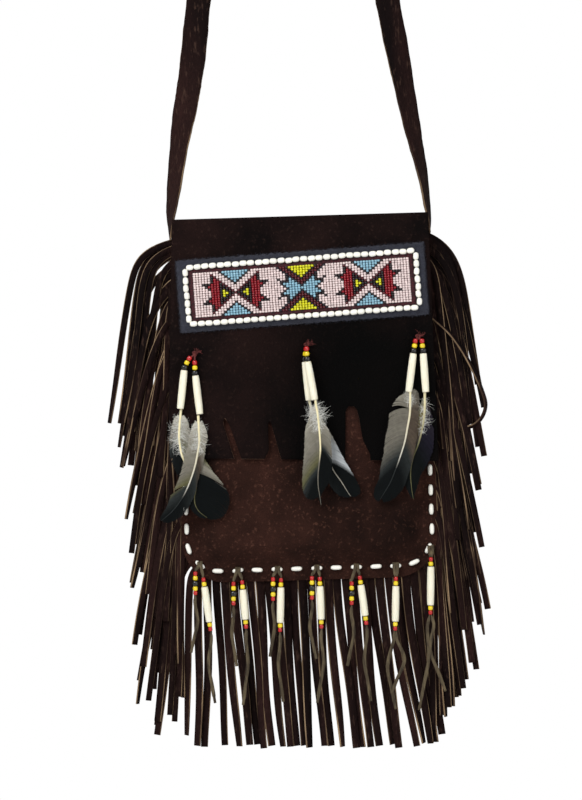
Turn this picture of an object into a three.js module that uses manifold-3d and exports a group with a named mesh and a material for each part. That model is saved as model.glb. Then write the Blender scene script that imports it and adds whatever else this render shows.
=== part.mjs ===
// A beaded medicine bag: a suede pouch with a fringed seam, a beaded flap, feather drops,
// lace tassels and a shoulder strap. Millimetres, +Z up, the viewer on the -Y side.
// The origin is the inside of the strap's crown, where the bag hangs from a peg.
import * as THREE from 'three';
import { mergeVertices } from 'three/addons/utils/BufferGeometryUtils.js';
import Module from 'manifold-3d';

const wasm = await Module();
wasm.setup();

// Clearances.
const GAP = 0.3; // air between two pieces that touch
const STRIP_GAP = 0.6; // thin cut between two fringe strips
const FLAP_SIDE_CLEARANCE = 2; // keeps the flap's top corners inside the strap's ends
const FLAP_AIR = 2; // between the pocket's belly and the flap
const FRINGE_PARTING = 2; // between a side fringe's root and the bottom fringe's

// How the bag hangs.
const STRAP_DROP = 404; // from the crown of the strap down to the mouth
const BAG_TILT = THREE.MathUtils.degToRad(1.7); // the right side hangs this much higher
const BAG_SHIFT = 7.5; // the mouth's middle lies this far right of the crown

// The pouch.
const BAG_WIDTH = 238;
const BAG_HEIGHT = 336;
const CORNER_RADIUS = 40;
const LEATHER = 2; // every panel's thickness
const BACK_FACE = 9; // Y of the back panel's outer face
const POCKET_DEPTH = 16; // clear depth between the panels
const MOUTH_DROP = 16; // the front panel's edge lies this far below the fold
const FLANGE = 12; // flat edge of the front panel along the seam
const BULGE_RISE = 24; // width of the slope from the flange to full depth

// The fold and the flap.
const FLAP_LENGTH = 223;
const FLAP_LEFT_FLARE = 10;
const FLAP_RIGHT_FLARE = 3;
const SLIT_COUNT = 5;
const SLIT_HEIGHT = 38;
const SLIT_TOP = 2.4; // width at its round top
const SLIT_BOTTOM = 9; // width at the hem

// The beadwork on the flap.
const BEADWORK_SKEW = THREE.MathUtils.degToRad(2.6); // sewn on a little askew
const BEADWORK_DROP = 64.4; // from the mouth to the strip's middle
const FELT_WIDTH = 229;
const FELT_HEIGHT = 66;
const FELT_THICKNESS = 2;
const LOOM_COLUMNS = 75;
const LOOM_ROWS = 19;
const LOOM_COLUMN_PITCH = 2.67;
const LOOM_ROW_PITCH = 2.17;
const LOOM_THICKNESS = 1.8;
const FRAME_MARGIN = 5.6; // from the strip's edge to the middle of the bead frame
const FRAME_BEAD_RADIUS = 2;

// The seam lace and its beads.
const SEAM_SIDE_INSET = 5;
const SEAM_BOTTOM_INSET = 11;
const SEAM_RADIUS = 30;
const SEAM_LACE_RADIUS = 1.1;
const SEAM_BEAD_RADIUS = 2.1;
const SEAM_BEAD_LENGTH = 10.2;
const SEAM_BEAD_SHOULDER = 0.3; // share of the half length at full radius
const SEAM_BEAD_PITCH = 18.35;
const SEAM_BEAD_SHIFT = 6; // the middle bead lies this far right of the bag's middle
const SEAM_TOP = 24; // the lace ends this far below the mouth

// Beads, hairpipes and laces.
const PONY_RADIUS = 3;
const PONY_LENGTH = 4.5;
const PONY_NECK_RADIUS = 2.4;
const PIPE_RADIUS = 3.6;
const PIPE_END_RADIUS = 2.9;
const LACE_RADIUS = 0.75;
const LACE_SPREAD = 0.95; // half the distance between two laces in one bore
const LACE_ARCH_SHARE = 0.7; // how far out a lace bends down, as a share of its strand's side
const LACE_ARCH_DROP = 0.5; // how far under the seam bead's middle it bends down
const LACE_WANDER = 1.2; // how fast two tails of one strand part
const SHORT_TAIL_SHARE = 0.8;
const THONG_RADIUS = 1.2;
const THONG_WAIST = 1.9; // radius between two beads of a feather drop
const KNOT_RADIUS = 2.3;

// Feather drops, in a frame that hangs plumb from each knot.
const DROP_SPACING = 103.4;
const DROP_SHIFT = 0;
const DROP_BELOW_FELT = 21;
const DROP_PIPE_LENGTH = 36;
const FEATHER_THICKNESS = 1;
const FRONT_FEATHER_FORWARD = 1; // from its pipe's middle to the feather's back
const REAR_FEATHER_BACK = 2.6;

// Fringes.
const SEAM_FRINGE_ROOT = 11; // how far a side fringe reaches into the seam
const BOTTOM_FRINGE_LENGTH = 164;
const BOTTOM_STRIPS = 26;
const BOTTOM_CUT_START = 6; // the cuts start this far below the pouch's edge
const BOTTOM_LEAN = 3; // sideways travel of the leftmost strip's tip
const BOTTOM_FAN = 8; // how much more the rightmost tip travels
const STRIP_TAPER = 0.8; // a bottom tip's width as a share of its root's
const TIP_SLANT = 2;
const TIP_WAVE = 4; // how far the tips stray from one length
const SIDE_FRINGE_TOP = 21;
const SIDE_FRINGE_FOOT = 21; // the lowest side strip ends this far above the bottom edge
const SIDE_STRIPS = 12;
const LEFT_FRINGE = { side: -1, throwOut: 34, bend: 9, slope: 0.2, length: 170 };
const RIGHT_FRINGE = { side: 1, throwOut: 22, bend: 13, slope: 0.15, length: 170 };

// The strap.
const STRAP_WIDTH = 23;
const STRAP_THICKNESS = 2;
const STRAP_TAB = 20; // length of each end that is sewn to the side seam
const STRAP_BEHIND = 1; // the ends reach this far behind the back panel
const CROWN_RADIUS = 60;
const CROWN_SHOULDER = 0.7; // where the crown starts to bend over, sideways
const CROWN_SAG = 0.3; // and downwards, both as shares of its radius
const LOWER_TURN = [0.01, 0.17]; // shares of the length over which the strap turns
const UPPER_TURN = [0.3, 0.42];

// What follows from the driving dimensions. Y falls towards the viewer.
const HALF_WIDTH = BAG_WIDTH / 2;
const FLAP_TOP_WIDTH = BAG_WIDTH - 2 * FLAP_SIDE_CLEARANCE;
const SLIT_PITCH = FLAP_TOP_WIDTH / (SLIT_COUNT + 0.7);
const SIDE_FRINGE_PITCH = (BAG_HEIGHT - SIDE_FRINGE_TOP - SIDE_FRINGE_FOOT) / SIDE_STRIPS;
const BACK_INNER = BACK_FACE - LEATHER;
const WELT_BACK = BACK_INNER - GAP;
const FLANGE_BACK = WELT_BACK - LEATHER - GAP;
const FLANGE_FRONT = FLANGE_BACK - LEATHER;
const BULGE_FRONT = BACK_INNER - POCKET_DEPTH - LEATHER;
const FLAP_BACK = BULGE_FRONT - FLAP_AIR;
const FLAP_FRONT = FLAP_BACK - LEATHER;
const FOLD_TOP = GAP + LEATHER; // height of the fold's upper face over the mouth line
const FELT_FRONT = FLAP_FRONT - GAP - FELT_THICKNESS;
const LOOM_WIDTH = LOOM_COLUMNS * LOOM_COLUMN_PITCH;
const LOOM_HEIGHT = LOOM_ROWS * LOOM_ROW_PITCH;
const SEAM_Y = FLANGE_FRONT - GAP - SEAM_BEAD_RADIUS;
const ARCH_Y = SEAM_Y - SEAM_BEAD_RADIUS - GAP - LACE_RADIUS;
const TASSEL_Y = SEAM_Y - SEAM_BEAD_RADIUS - GAP - PIPE_RADIUS;
const TWIN_SPACING = PONY_RADIUS + PIPE_RADIUS + 2 * GAP;
const SINGLE_BORE = LACE_RADIUS + 2 * GAP;
const PAIR_BORE = LACE_SPREAD + LACE_RADIUS + 1.5 * GAP;
const STRAND_Y = FLAP_FRONT - GAP - PIPE_RADIUS;

const FINISH = {
  suede: { color: 0x2c221e, roughness: 0.95, metalness: 0 },
  darkSuede: { color: 0x1c1614, roughness: 0.95, metalness: 0 },
  felt: { color: 0x3c3e4b, roughness: 1, metalness: 0 },
  seedBeads: { color: 0xd8c8c4, roughness: 0.35, metalness: 0 },
  whiteBeads: { color: 0xf4f2e6, roughness: 0.3, metalness: 0 },
  ponyBeads: { color: 0xd8b83a, roughness: 0.3, metalness: 0 },
  bone: { color: 0xf0eedc, roughness: 0.45, metalness: 0 },
  feather: { color: 0x6a6c66, roughness: 0.7, metalness: 0 },
  lace: { color: 0x5c5340, roughness: 0.9, metalness: 0 },
};

function addPiece(group, name, geometry, finish) {
  const mesh = new THREE.Mesh(geometry, new THREE.MeshStandardMaterial(finish));
  mesh.name = name;
  group.add(mesh);
  return mesh;
}

// A flat outline drawn in X and Z, given a thickness that runs from backY towards the viewer.
function slab(shape, backY, thickness) {
  const options = { depth: thickness, bevelEnabled: false, curveSegments: 4 };
  return new THREE.ExtrudeGeometry(shape, options).rotateX(Math.PI / 2).translate(0, backY, 0);
}

function outline(points) {
  return new THREE.Shape(points.map(([x, z]) => new THREE.Vector2(x, z)));
}

// A closed skin over a row of rings, all with the same number of points.
function loft(rings) {
  const count = rings[0].length;
  const positions = rings.flat().flatMap((p) => [p.x, p.y, p.z]);
  const index = [];
  for (let r = 0; r < rings.length - 1; r += 1) {
    for (let j = 0; j < count; j += 1) {
      const a = r * count + j;
      const b = r * count + ((j + 1) % count);
      index.push(a, b, b + count, a, b + count, a + count);
    }
  }
  const last = (rings.length - 1) * count;
  for (let j = 1; j < count - 1; j += 1) {
    index.push(0, j + 1, j, last, last + j, last + j + 1);
  }
  const geometry = new THREE.BufferGeometry();
  geometry.setAttribute('position', new THREE.Float32BufferAttribute(positions, 3));
  geometry.setIndex(index);
  return geometry;
}

function tangentAt(points, i) {
  const before = points[Math.max(i - 1, 0)];
  const after = points[Math.min(i + 1, points.length - 1)];
  return after.clone().sub(before).normalize();
}

// A round rod along points, with its own radius at each: beads on a thong in one skin.
function beadedRod(points, radii, sides) {
  const depth = new THREE.Vector3(0, 1, 0);
  const rings = points.map((point, i) => {
    const along = tangentAt(points, i);
    const across = depth.clone().cross(along).normalize();
    const over = along.clone().cross(across);
    return Array.from({ length: sides }, (_, k) => {
      const angle = (k / sides) * 2 * Math.PI;
      return point.clone()
        .addScaledVector(across, radii[i] * Math.cos(angle))
        .addScaledVector(over, radii[i] * Math.sin(angle));
    });
  });
  return loft(rings);
}

function toManifold(geometry) {
  const bare = geometry.clone();
  bare.deleteAttribute('normal');
  bare.deleteAttribute('uv');
  const merged = mergeVertices(bare, 1e-4);
  const mesh = new wasm.Mesh({
    numProp: 3,
    vertProperties: new Float32Array(merged.attributes.position.array),
    triVerts: new Uint32Array(merged.index.array),
  });
  return new wasm.Manifold(mesh);
}

// One solid from several that run into each other.
function unite(geometries) {
  const solid = geometries.map(toManifold).reduce((sum, next) => sum.add(next));
  const mesh = solid.getMesh();
  const geometry = new THREE.BufferGeometry();
  geometry.setAttribute('position', new THREE.Float32BufferAttribute(mesh.vertProperties, 3));
  geometry.setIndex(Array.from(mesh.triVerts));
  return geometry;
}

// The pouch's own outline, with round lower corners.
function pouchOutline() {
  const shape = new THREE.Shape();
  const turn = BAG_HEIGHT - CORNER_RADIUS;
  const side = HALF_WIDTH - CORNER_RADIUS;
  shape.moveTo(-HALF_WIDTH, 0);
  shape.lineTo(-HALF_WIDTH, -turn);
  shape.absarc(-side, -turn, CORNER_RADIUS, Math.PI, 1.5 * Math.PI, false);
  shape.absarc(side, -turn, CORNER_RADIUS, 1.5 * Math.PI, 2 * Math.PI, false);
  shape.lineTo(HALF_WIDTH, 0);
  return shape;
}

// The back panel goes up behind the pocket and folds forward over the mouth.
function makeBackPanel() {
  const panel = slab(pouchOutline(), BACK_FACE, LEATHER);
  const half = FLAP_TOP_WIDTH / 2;
  const neck = outline([[-half, -LEATHER], [half, -LEATHER], [half, FOLD_TOP], [-half, FOLD_TOP]]);
  const fold = outline([[-half, GAP], [half, GAP], [half, FOLD_TOP], [-half, FOLD_TOP]]);
  const foldDepth = BACK_FACE - (FLAP_BACK + GAP);
  return unite([panel, slab(neck, BACK_FACE, LEATHER), slab(fold, BACK_FACE, foldDepth)]);
}

function pouchHalfWidthAt(drop) {
  const into = drop - (BAG_HEIGHT - CORNER_RADIUS);
  if (into <= 0) {
    return HALF_WIDTH;
  }
  return HALF_WIDTH - CORNER_RADIUS + Math.sqrt(Math.max(CORNER_RADIUS ** 2 - into ** 2, 0));
}

// How far a point of the front panel lies inside the pouch's outline.
function insetFromEdge(x, drop) {
  const cornerX = Math.abs(x) - (HALF_WIDTH - CORNER_RADIUS);
  const cornerDrop = drop - (BAG_HEIGHT - CORNER_RADIUS);
  if (cornerX > 0 && cornerDrop > 0) {
    return CORNER_RADIUS - Math.hypot(cornerX, cornerDrop);
  }
  return Math.min(HALF_WIDTH - Math.abs(x), BAG_HEIGHT - drop);
}

// The front panel is one sheet with a flat edge along the seam and a round belly over the pocket.
function makeFrontPanel() {
  const columns = 20;
  const sideRows = 9;
  const cornerRows = 6;
  const turn = BAG_HEIGHT - CORNER_RADIUS;
  const drops = [];
  for (let i = 0; i <= sideRows; i += 1) {
    drops.push(MOUTH_DROP + ((turn - MOUTH_DROP) * i) / sideRows);
  }
  for (let i = 1; i <= cornerRows; i += 1) {
    drops.push(turn + CORNER_RADIUS * Math.sin((i / cornerRows) * (Math.PI / 2)));
  }
  const rings = drops.reverse().map((drop) => {
    const half = pouchHalfWidthAt(drop);
    const front = [];
    const back = [];
    for (let k = 0; k <= columns; k += 1) {
      const x = half * Math.sin((k / columns - 0.5) * Math.PI);
      const rise = THREE.MathUtils.smoothstep(insetFromEdge(x, drop), FLANGE, FLANGE + BULGE_RISE);
      const y = THREE.MathUtils.lerp(FLANGE_FRONT, BULGE_FRONT, rise);
      front.push(new THREE.Vector3(x, y, -drop));
      back.unshift(new THREE.Vector3(x, y + LEATHER, -drop));
    }
    return [...front, ...back];
  });
  return closedSheet(rings, columns + 1);
}

// Skins rings that are each a front edge and a back edge of equal length, with flat end strips.
function closedSheet(rings, width) {
  const geometry = loft(rings);
  const count = 2 * width;
  const sideFaces = (rings.length - 1) * count * 6;
  const index = Array.from(geometry.index.array.slice(0, sideFaces));
  const last = (rings.length - 1) * count;
  for (let k = 0; k < width - 1; k += 1) {
    const front = k;
    const back = count - 1 - k;
    index.push(front, back, front + 1, front + 1, back, back - 1);
    index.push(last + front, last + front + 1, last + back);
    index.push(last + front + 1, last + back - 1, last + back);
  }
  geometry.setIndex(index);
  return geometry;
}

// The flap's hanging part: flared sides and a hem cut into tabs by narrow slits.
function makeFlap() {
  const top = FLAP_TOP_WIDTH / 2;
  const left = top + FLAP_LEFT_FLARE;
  const right = top + FLAP_RIGHT_FLARE;
  const points = [[-top, FOLD_TOP], [-left, -FLAP_LENGTH]];
  for (let i = 0; i < SLIT_COUNT; i += 1) {
    const x = (i - (SLIT_COUNT - 1) / 2) * SLIT_PITCH;
    points.push([x - SLIT_BOTTOM / 2, -FLAP_LENGTH]);
    points.push([x - SLIT_TOP / 2, -FLAP_LENGTH + SLIT_HEIGHT]);
    points.push([x, -FLAP_LENGTH + SLIT_HEIGHT + SLIT_TOP / 2]);
    points.push([x + SLIT_TOP / 2, -FLAP_LENGTH + SLIT_HEIGHT]);
    points.push([x + SLIT_BOTTOM / 2, -FLAP_LENGTH]);
  }
  points.push([right, -FLAP_LENGTH], [top, FOLD_TOP]);
  return slab(outline(points), FLAP_BACK, LEATHER);
}

function rectangle(width, height) {
  const x = width / 2;
  const z = height / 2;
  return outline([[-x, -z], [x, -z], [x, z], [-x, z]]);
}

// A closed string of beads round the loom strip, made here as a plain eight-sided frame.
function makeBeadFrame() {
  const middleX = LOOM_WIDTH / 2 + FRAME_MARGIN;
  const middleZ = LOOM_HEIGHT / 2 + FRAME_MARGIN;
  const outer = rectangle(2 * (middleX + FRAME_BEAD_RADIUS), 2 * (middleZ + FRAME_BEAD_RADIUS));
  const inner = rectangle(2 * (middleX - FRAME_BEAD_RADIUS), 2 * (middleZ - FRAME_BEAD_RADIUS));
  outer.holes.push(inner);
  return slab(outer, FELT_FRONT - GAP, 2 * FRAME_BEAD_RADIUS);
}

// A place on the seam line, by its distance along it from the bottom's middle.
function seamPoint(distance) {
  const side = Math.sign(distance) || 1;
  const x = HALF_WIDTH - SEAM_SIDE_INSET;
  const straight = x - SEAM_RADIUS;
  const bottom = BAG_HEIGHT - SEAM_BOTTOM_INSET;
  const arc = (Math.PI / 2) * SEAM_RADIUS;
  const along = Math.abs(distance);
  if (along < straight) {
    return { x: side * along, drop: bottom };
  }
  if (along < straight + arc) {
    const angle = (along - straight) / SEAM_RADIUS;
    return {
      x: side * (straight + SEAM_RADIUS * Math.sin(angle)),
      drop: bottom - SEAM_RADIUS * (1 - Math.cos(angle)),
    };
  }
  return { x: side * x, drop: bottom - SEAM_RADIUS - (along - straight - arc) };
}

function seamHalfLength() {
  const straight = HALF_WIDTH - SEAM_SIDE_INSET - SEAM_RADIUS;
  const upright = BAG_HEIGHT - SEAM_BOTTOM_INSET - SEAM_RADIUS - SEAM_TOP;
  return straight + (Math.PI / 2) * SEAM_RADIUS + upright;
}

function seamBeadDistance(number) {
  return SEAM_BEAD_SHIFT + number * SEAM_BEAD_PITCH;
}

// The running lace on the flange, swelling to a long bead at every pitch.
function makeSeamLace() {
  const end = seamHalfLength();
  const stations = [[-end, SEAM_LACE_RADIUS]];
  const half = SEAM_BEAD_LENGTH / 2;
  const shoulder = SEAM_BEAD_SHOULDER * half;
  const first = Math.ceil((-end + half - SEAM_BEAD_SHIFT) / SEAM_BEAD_PITCH);
  for (let number = first; seamBeadDistance(number) < end - half; number += 1) {
    const middle = seamBeadDistance(number);
    stations.push([middle - half, SEAM_LACE_RADIUS], [middle - shoulder, SEAM_BEAD_RADIUS]);
    stations.push([middle + shoulder, SEAM_BEAD_RADIUS], [middle + half, SEAM_LACE_RADIUS]);
  }
  stations.push([end, SEAM_LACE_RADIUS]);
  const points = stations.map(([distance]) => {
    const { x, drop } = seamPoint(distance);
    return new THREE.Vector3(x, SEAM_Y, -drop);
  });
  return beadedRod(points, stations.map(([, radius]) => radius), 6);
}

// The depth, below the mouth, at which the bottom fringe starts inside the seam at a given x.
function fringeRootDrop(x) {
  const edge = BAG_HEIGHT - SEAM_BOTTOM_INSET;
  const into = Math.abs(x) - (HALF_WIDTH - CORNER_RADIUS);
  if (into <= 0) {
    return edge;
  }
  return edge - CORNER_RADIUS + Math.sqrt(Math.max(CORNER_RADIUS ** 2 - into ** 2, 0));
}

// Strips that hang from the bottom seam, each a little longer or shorter than the next.
function makeBottomFringe() {
  const right = HALF_WIDTH - SEAM_FRINGE_ROOT - FRINGE_PARTING;
  const width = 2 * right;
  const pitch = width / BOTTOM_STRIPS;
  const cut = pitch - STRIP_GAP;
  const root = BAG_HEIGHT + BOTTOM_CUT_START;
  const points = [];
  for (let i = 0; i < BOTTOM_STRIPS; i += 1) {
    const x = i * pitch - right;
    const tip = BAG_HEIGHT + BOTTOM_FRINGE_LENGTH + TIP_WAVE * Math.sin(2.1 * i);
    const lean = BOTTOM_LEAN + BOTTOM_FAN * (i / BOTTOM_STRIPS);
    points.push([x, -root], [x + lean, -tip]);
    points.push([x + lean + cut * STRIP_TAPER, TIP_SLANT - tip], [x + cut, -root]);
  }
  points.push([right - STRIP_GAP, -fringeRootDrop(right)]);
  const steps = 12;
  for (let i = steps - 1; i >= 0; i -= 1) {
    const x = (width * i) / steps - right;
    points.push([x, -fringeRootDrop(x)]);
  }
  return slab(outline(points), WELT_BACK, LEATHER);
}

// How far a side strip has moved outwards when it has dropped this far from its root.
function swing(fringe, drop) {
  return fringe.throwOut * (1 - Math.exp(-drop / fringe.bend)) + fringe.slope * drop;
}

// One edge of a side strip, from its root down to its tip. The steps are the same on every
// strip, so neighbouring edges run side by side.
function stripEdge(fringe, root, tip, offset) {
  const steps = 7;
  const edge = [[HALF_WIDTH, -root]];
  for (let k = 1; k < steps; k += 1) {
    const drop = fringe.length * (k / steps) ** 1.6;
    edge.push([HALF_WIDTH + offset + swing(fringe, drop), -(root + drop)]);
  }
  edge.push([HALF_WIDTH + offset + swing(fringe, tip), -(root + tip)]);
  return edge;
}

// Strips that leave a side seam outwards and then hang, each outside the one rooted below it.
function makeSideFringe(fringe) {
  const inner = HALF_WIDTH - SEAM_FRINGE_ROOT;
  const points = [[inner, -SIDE_FRINGE_TOP]];
  for (let i = 0; i < SIDE_STRIPS; i += 1) {
    const root = SIDE_FRINGE_TOP + i * SIDE_FRINGE_PITCH;
    const lower = root + SIDE_FRINGE_PITCH - STRIP_GAP;
    const tip = fringe.length + TIP_WAVE * Math.sin(1.7 * i);
    const innerTip = tip + root - lower - TIP_SLANT;
    points.push(...stripEdge(fringe, root, tip, 0));
    points.push(...stripEdge(fringe, lower, innerTip, STRIP_GAP).reverse());
  }
  points.push([inner, STRIP_GAP - (BAG_HEIGHT - SIDE_FRINGE_FOOT)]);
  const turned = points.map(([x, z]) => [fringe.side * x, z]);
  return slab(outline(turned), WELT_BACK, LEATHER);
}

// A stack of pony beads in one ring-shaped solid, bored for the lace, its middle at the origin.
function beadStack(count, bore) {
  const length = count * PONY_LENGTH;
  const profile = [[bore, -length / 2]];
  for (let i = 0; i < count; i += 1) {
    const start = i * PONY_LENGTH - length / 2;
    profile.push([PONY_NECK_RADIUS, start + 0.04 * PONY_LENGTH * (i > 0)]);
    profile.push([PONY_RADIUS, start + 0.3 * PONY_LENGTH]);
    profile.push([PONY_RADIUS, start + 0.7 * PONY_LENGTH]);
  }
  profile.push([PONY_NECK_RADIUS, length / 2], [bore, length / 2]);
  return turnedRing(profile);
}

// A bone hairpipe: a slim barrel, bored from end to end.
function hairpipe(length, bore) {
  const end = length / 2;
  return turnedRing([
    [bore, -end], [PIPE_END_RADIUS, -end], [PIPE_RADIUS, -0.5 * end],
    [PIPE_RADIUS, 0.5 * end], [PIPE_END_RADIUS, end], [bore, end],
  ]);
}

// Turns a closed profile of radius and height about the Z axis.
function turnedRing(profile) {
  const closed = [...profile, profile[0]];
  const points = closed.map(([radius, height]) => new THREE.Vector2(radius, height));
  return new THREE.LatheGeometry(points, 8).rotateX(Math.PI / 2);
}

// Puts a turned piece at a distance down a line that starts at top and leans by angle.
function placeOnLine(mesh, top, angle, distance) {
  mesh.position.set(top.x + distance * Math.sin(angle), top.y, top.z - distance * Math.cos(angle));
  mesh.rotation.y = -angle;
}

// A point on such a line.
function linePoint(top, angle, distance, side = 0) {
  return new THREE.Vector3(
    top.x + distance * Math.sin(angle) + side * Math.cos(angle),
    top.y,
    top.z - distance * Math.cos(angle) + side * Math.sin(angle),
  );
}

// The lace is one round cord through all its beads, bent over its seam bead in the middle.
function laceTube(points) {
  const curve = new THREE.CatmullRomCurve3(points, false, 'centripetal');
  const section = new THREE.Shape();
  section.absarc(0, 0, LACE_RADIUS, 0, 2 * Math.PI, false);
  const options = { steps: 40, extrudePath: curve, bevelEnabled: false, curveSegments: 4 };
  return new THREE.ExtrudeGeometry(section, options);
}

// The tassels, by seam bead. Sides, drops, pipes and tails are millimetres in a plumb frame
// whose origin is the seam bead. Where a short strand of five beads hangs beside the long one,
// twin says how much further apart they are than they need be, and how low the short one starts.
const TASSELS = [
  { bead: -6, side: 3.2, drop: 11, lean: 8, pipe: 33, tail: 66, sway: 4, twin: { apart: 0, drop: 6 } },
  { bead: -4, side: 3.8, drop: 8, lean: 5, pipe: 28, tail: 70, sway: -3, twin: { apart: 0.6, drop: 10 } },
  { bead: -2, side: 3.4, drop: 7, lean: -1, pipe: 33, tail: 64, sway: 3, twin: { apart: 0.2, drop: 7 } },
  { bead: 0, side: 2.6, drop: 7, lean: 2, pipe: 31, tail: 68, sway: -4, twin: { apart: 0, drop: 7 } },
  { bead: 2, side: 2.8, drop: 7, lean: 8, pipe: 29, tail: 70, sway: 4, twin: { apart: 0, drop: 13 } },
  { bead: 4, side: 0, drop: 9, lean: -0.8, pipe: 33, tail: 72, sway: -5 },
  { bead: 6, side: 2, drop: 7.5, lean: -0.5, pipe: 36, tail: 88, sway: 6 },
];

// One tassel: its lace, its beads and its hairpipe, hanging plumb from its seam bead.
function addTassel(bag, tassel, number) {
  const group = new THREE.Group();
  const { x, drop } = seamPoint(seamBeadDistance(tassel.bead));
  group.position.set(x, 0, -drop);
  group.rotation.y = BAG_TILT;
  bag.add(group);
  const bore = tassel.twin ? SINGLE_BORE : PAIR_BORE;
  const angle = THREE.MathUtils.degToRad(tassel.lean);
  const top = new THREE.Vector3(tassel.side, TASSEL_Y, -tassel.drop);
  const pair = 2 * PONY_LENGTH;
  const pipeTop = pair + GAP;
  const lowerTop = pipeTop + tassel.pipe + GAP;
  const place = (piece, geometry, finish, distance) => {
    const mesh = addPiece(group, `tassel_${number}_${piece}`, geometry, finish);
    placeOnLine(mesh, top, angle, distance);
  };
  place('upper_beads', beadStack(2, bore), FINISH.ponyBeads, pair / 2);
  place('hairpipe', hairpipe(tassel.pipe, bore), FINISH.bone, pipeTop + tassel.pipe / 2);
  place('lower_beads', beadStack(2, bore), FINISH.ponyBeads, lowerTop + pair / 2);
  const strand = { top, angle, length: lowerTop + pair };
  const route = tassel.twin ? addTwin(group, tassel, number, strand) : foldedRoute(tassel, strand);
  addPiece(group, `tassel_${number}_lace`, laceTube(route), FINISH.lace);
}

// The short strand beside a long one, and the route of the lace that both hang from.
function addTwin(group, tassel, number, strand) {
  const five = 5 * PONY_LENGTH;
  const side = tassel.side - TWIN_SPACING - tassel.twin.apart;
  const shortTop = new THREE.Vector3(side, TASSEL_Y, -tassel.twin.drop);
  const beads = beadStack(5, SINGLE_BORE);
  const mesh = addPiece(group, `tassel_${number}_short_beads`, beads, FINISH.ponyBeads);
  placeOnLine(mesh, shortTop, 0, five / 2);
  const short = { top: shortTop, angle: 0, length: five };
  return [
    ...strandTail(short, -tassel.sway, SHORT_TAIL_SHARE * tassel.tail, 0).reverse(),
    new THREE.Vector3(LACE_ARCH_SHARE * side, ARCH_Y, -LACE_ARCH_DROP),
    new THREE.Vector3(LACE_ARCH_SHARE * tassel.side, ARCH_Y, -LACE_ARCH_DROP),
    ...strandTail(strand, tassel.sway, tassel.tail, 0),
  ];
}

// The route of a lace that is folded in two, with both its ends through the same beads.
function foldedRoute(tassel, strand) {
  const { x } = strand.top;
  return [
    ...strandTail(strand, -tassel.sway, tassel.tail, -LACE_SPREAD).reverse(),
    new THREE.Vector3(x - LACE_SPREAD, ARCH_Y, -LACE_ARCH_DROP),
    new THREE.Vector3(x + LACE_SPREAD, ARCH_Y, -LACE_ARCH_DROP),
    ...strandTail(strand, 1.6 * tassel.sway, SHORT_TAIL_SHARE * tassel.tail, LACE_SPREAD),
  ];
}

// The route of one lace end: straight through its beads, then down in a slow sway.
function strandTail(strand, sway, tail, side) {
  const lead = 1;
  const shares = [0, 0.08, 0.25, 0.5, 0.75, 1];
  const along = (share) => share * (strand.length + lead) - lead;
  const points = shares.map((share) => linePoint(strand.top, strand.angle, along(share), side));
  const end = points[points.length - 1];
  const drift = Math.sign(side) * LACE_WANDER;
  points.push(new THREE.Vector3(end.x + 0.1 * sway + drift, end.y, end.z - 0.12 * tail));
  points.push(new THREE.Vector3(end.x - 0.5 * sway + 3 * drift, end.y, end.z - 0.45 * tail));
  points.push(new THREE.Vector3(end.x + sway + 3 * drift, end.y, end.z - tail));
  return points;
}

// The feather drops. Each strand runs in a plumb frame from the knot through its beads, and its
// pipe leans by some degrees under the last bead. A feather starts at the pipe's lower end and
// has its shaft's further points and its two half widths along it.
const DROPS = [
  {
    name: 'left',
    front: {
      layer: 0,
      beads: [[-0.2, -8], [0, -12.6], [0.2, -17.2]],
      lean: 6.6,
      shaft: [[3.9, -72], [1.9, -90], [-2.5, -112], [-9, -132], [-24, -152]],
      left: [1, 7, 10, 12, 12, 3],
      right: [1, 9, 8, 5, 4, 3],
    },
    rear: {
      layer: 0,
      beads: [[-5, -4], [-7.4, -8], [-9.6, -12.2]],
      lean: -5.8,
      shaft: [[-12.4, -70], [-10, -90], [-4, -108], [3, -126], [16, -150]],
      left: [1, 8, 9, 9, 9, 6],
      right: [1, 7, 9, 14, 20, 10],
    },
  },
  {
    name: 'centre',
    front: {
      layer: 1,
      beads: [[0, -3], [0.2, -7.6], [0.5, -12.2]],
      lean: 10.5,
      shaft: [[9.8, -67], [11.6, -86], [12.8, -104], [13, -124], [13, -144]],
      left: [1, 10, 14, 16, 15, 8],
      right: [1, 8, 10, 11, 9, 5],
    },
    rear: {
      layer: 0,
      beads: [[-0.5, -3], [-1, -7.6], [-1.5, -12.2]],
      lean: 5.7,
      shaft: [[10, -66], [20, -84], [29, -102], [38, -120], [46, -139]],
      left: [1, 8, 14, 16, 15, 6],
      right: [1, 3, 6, 6, 5, 4],
    },
  },
  {
    name: 'right',
    front: {
      layer: 0,
      beads: [[-2.6, -3.4], [-3.4, -7.8], [-4.2, -12.2]],
      lean: -6.9,
      shaft: [[-9.4, -68], [-13, -92], [-19, -112], [-27, -131], [-36, -148]],
      left: [1, 13, 15, 15, 13, 6],
      right: [1, 6, 9, 10, 12, 8],
    },
    rear: {
      layer: 0,
      beads: [[3.4, -3.4], [3.9, -7.8], [4.4, -12.2]],
      lean: 3.9,
      shaft: [[5.4, -70], [1.5, -90], [-3, -108], [-6.8, -128], [-4.6, -150]],
      left: [1, 9, 10, 10, 8, 1],
      right: [1, 12, 12, 10, 5, 1],
    },
  },
];

function strandDepth(strand) {
  return STRAND_Y - strand.layer * 2 * (PIPE_RADIUS + GAP);
}

function lastBead(strand) {
  const [x, z] = strand.beads[strand.beads.length - 1];
  return new THREE.Vector3(x, strandDepth(strand), z);
}

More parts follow.
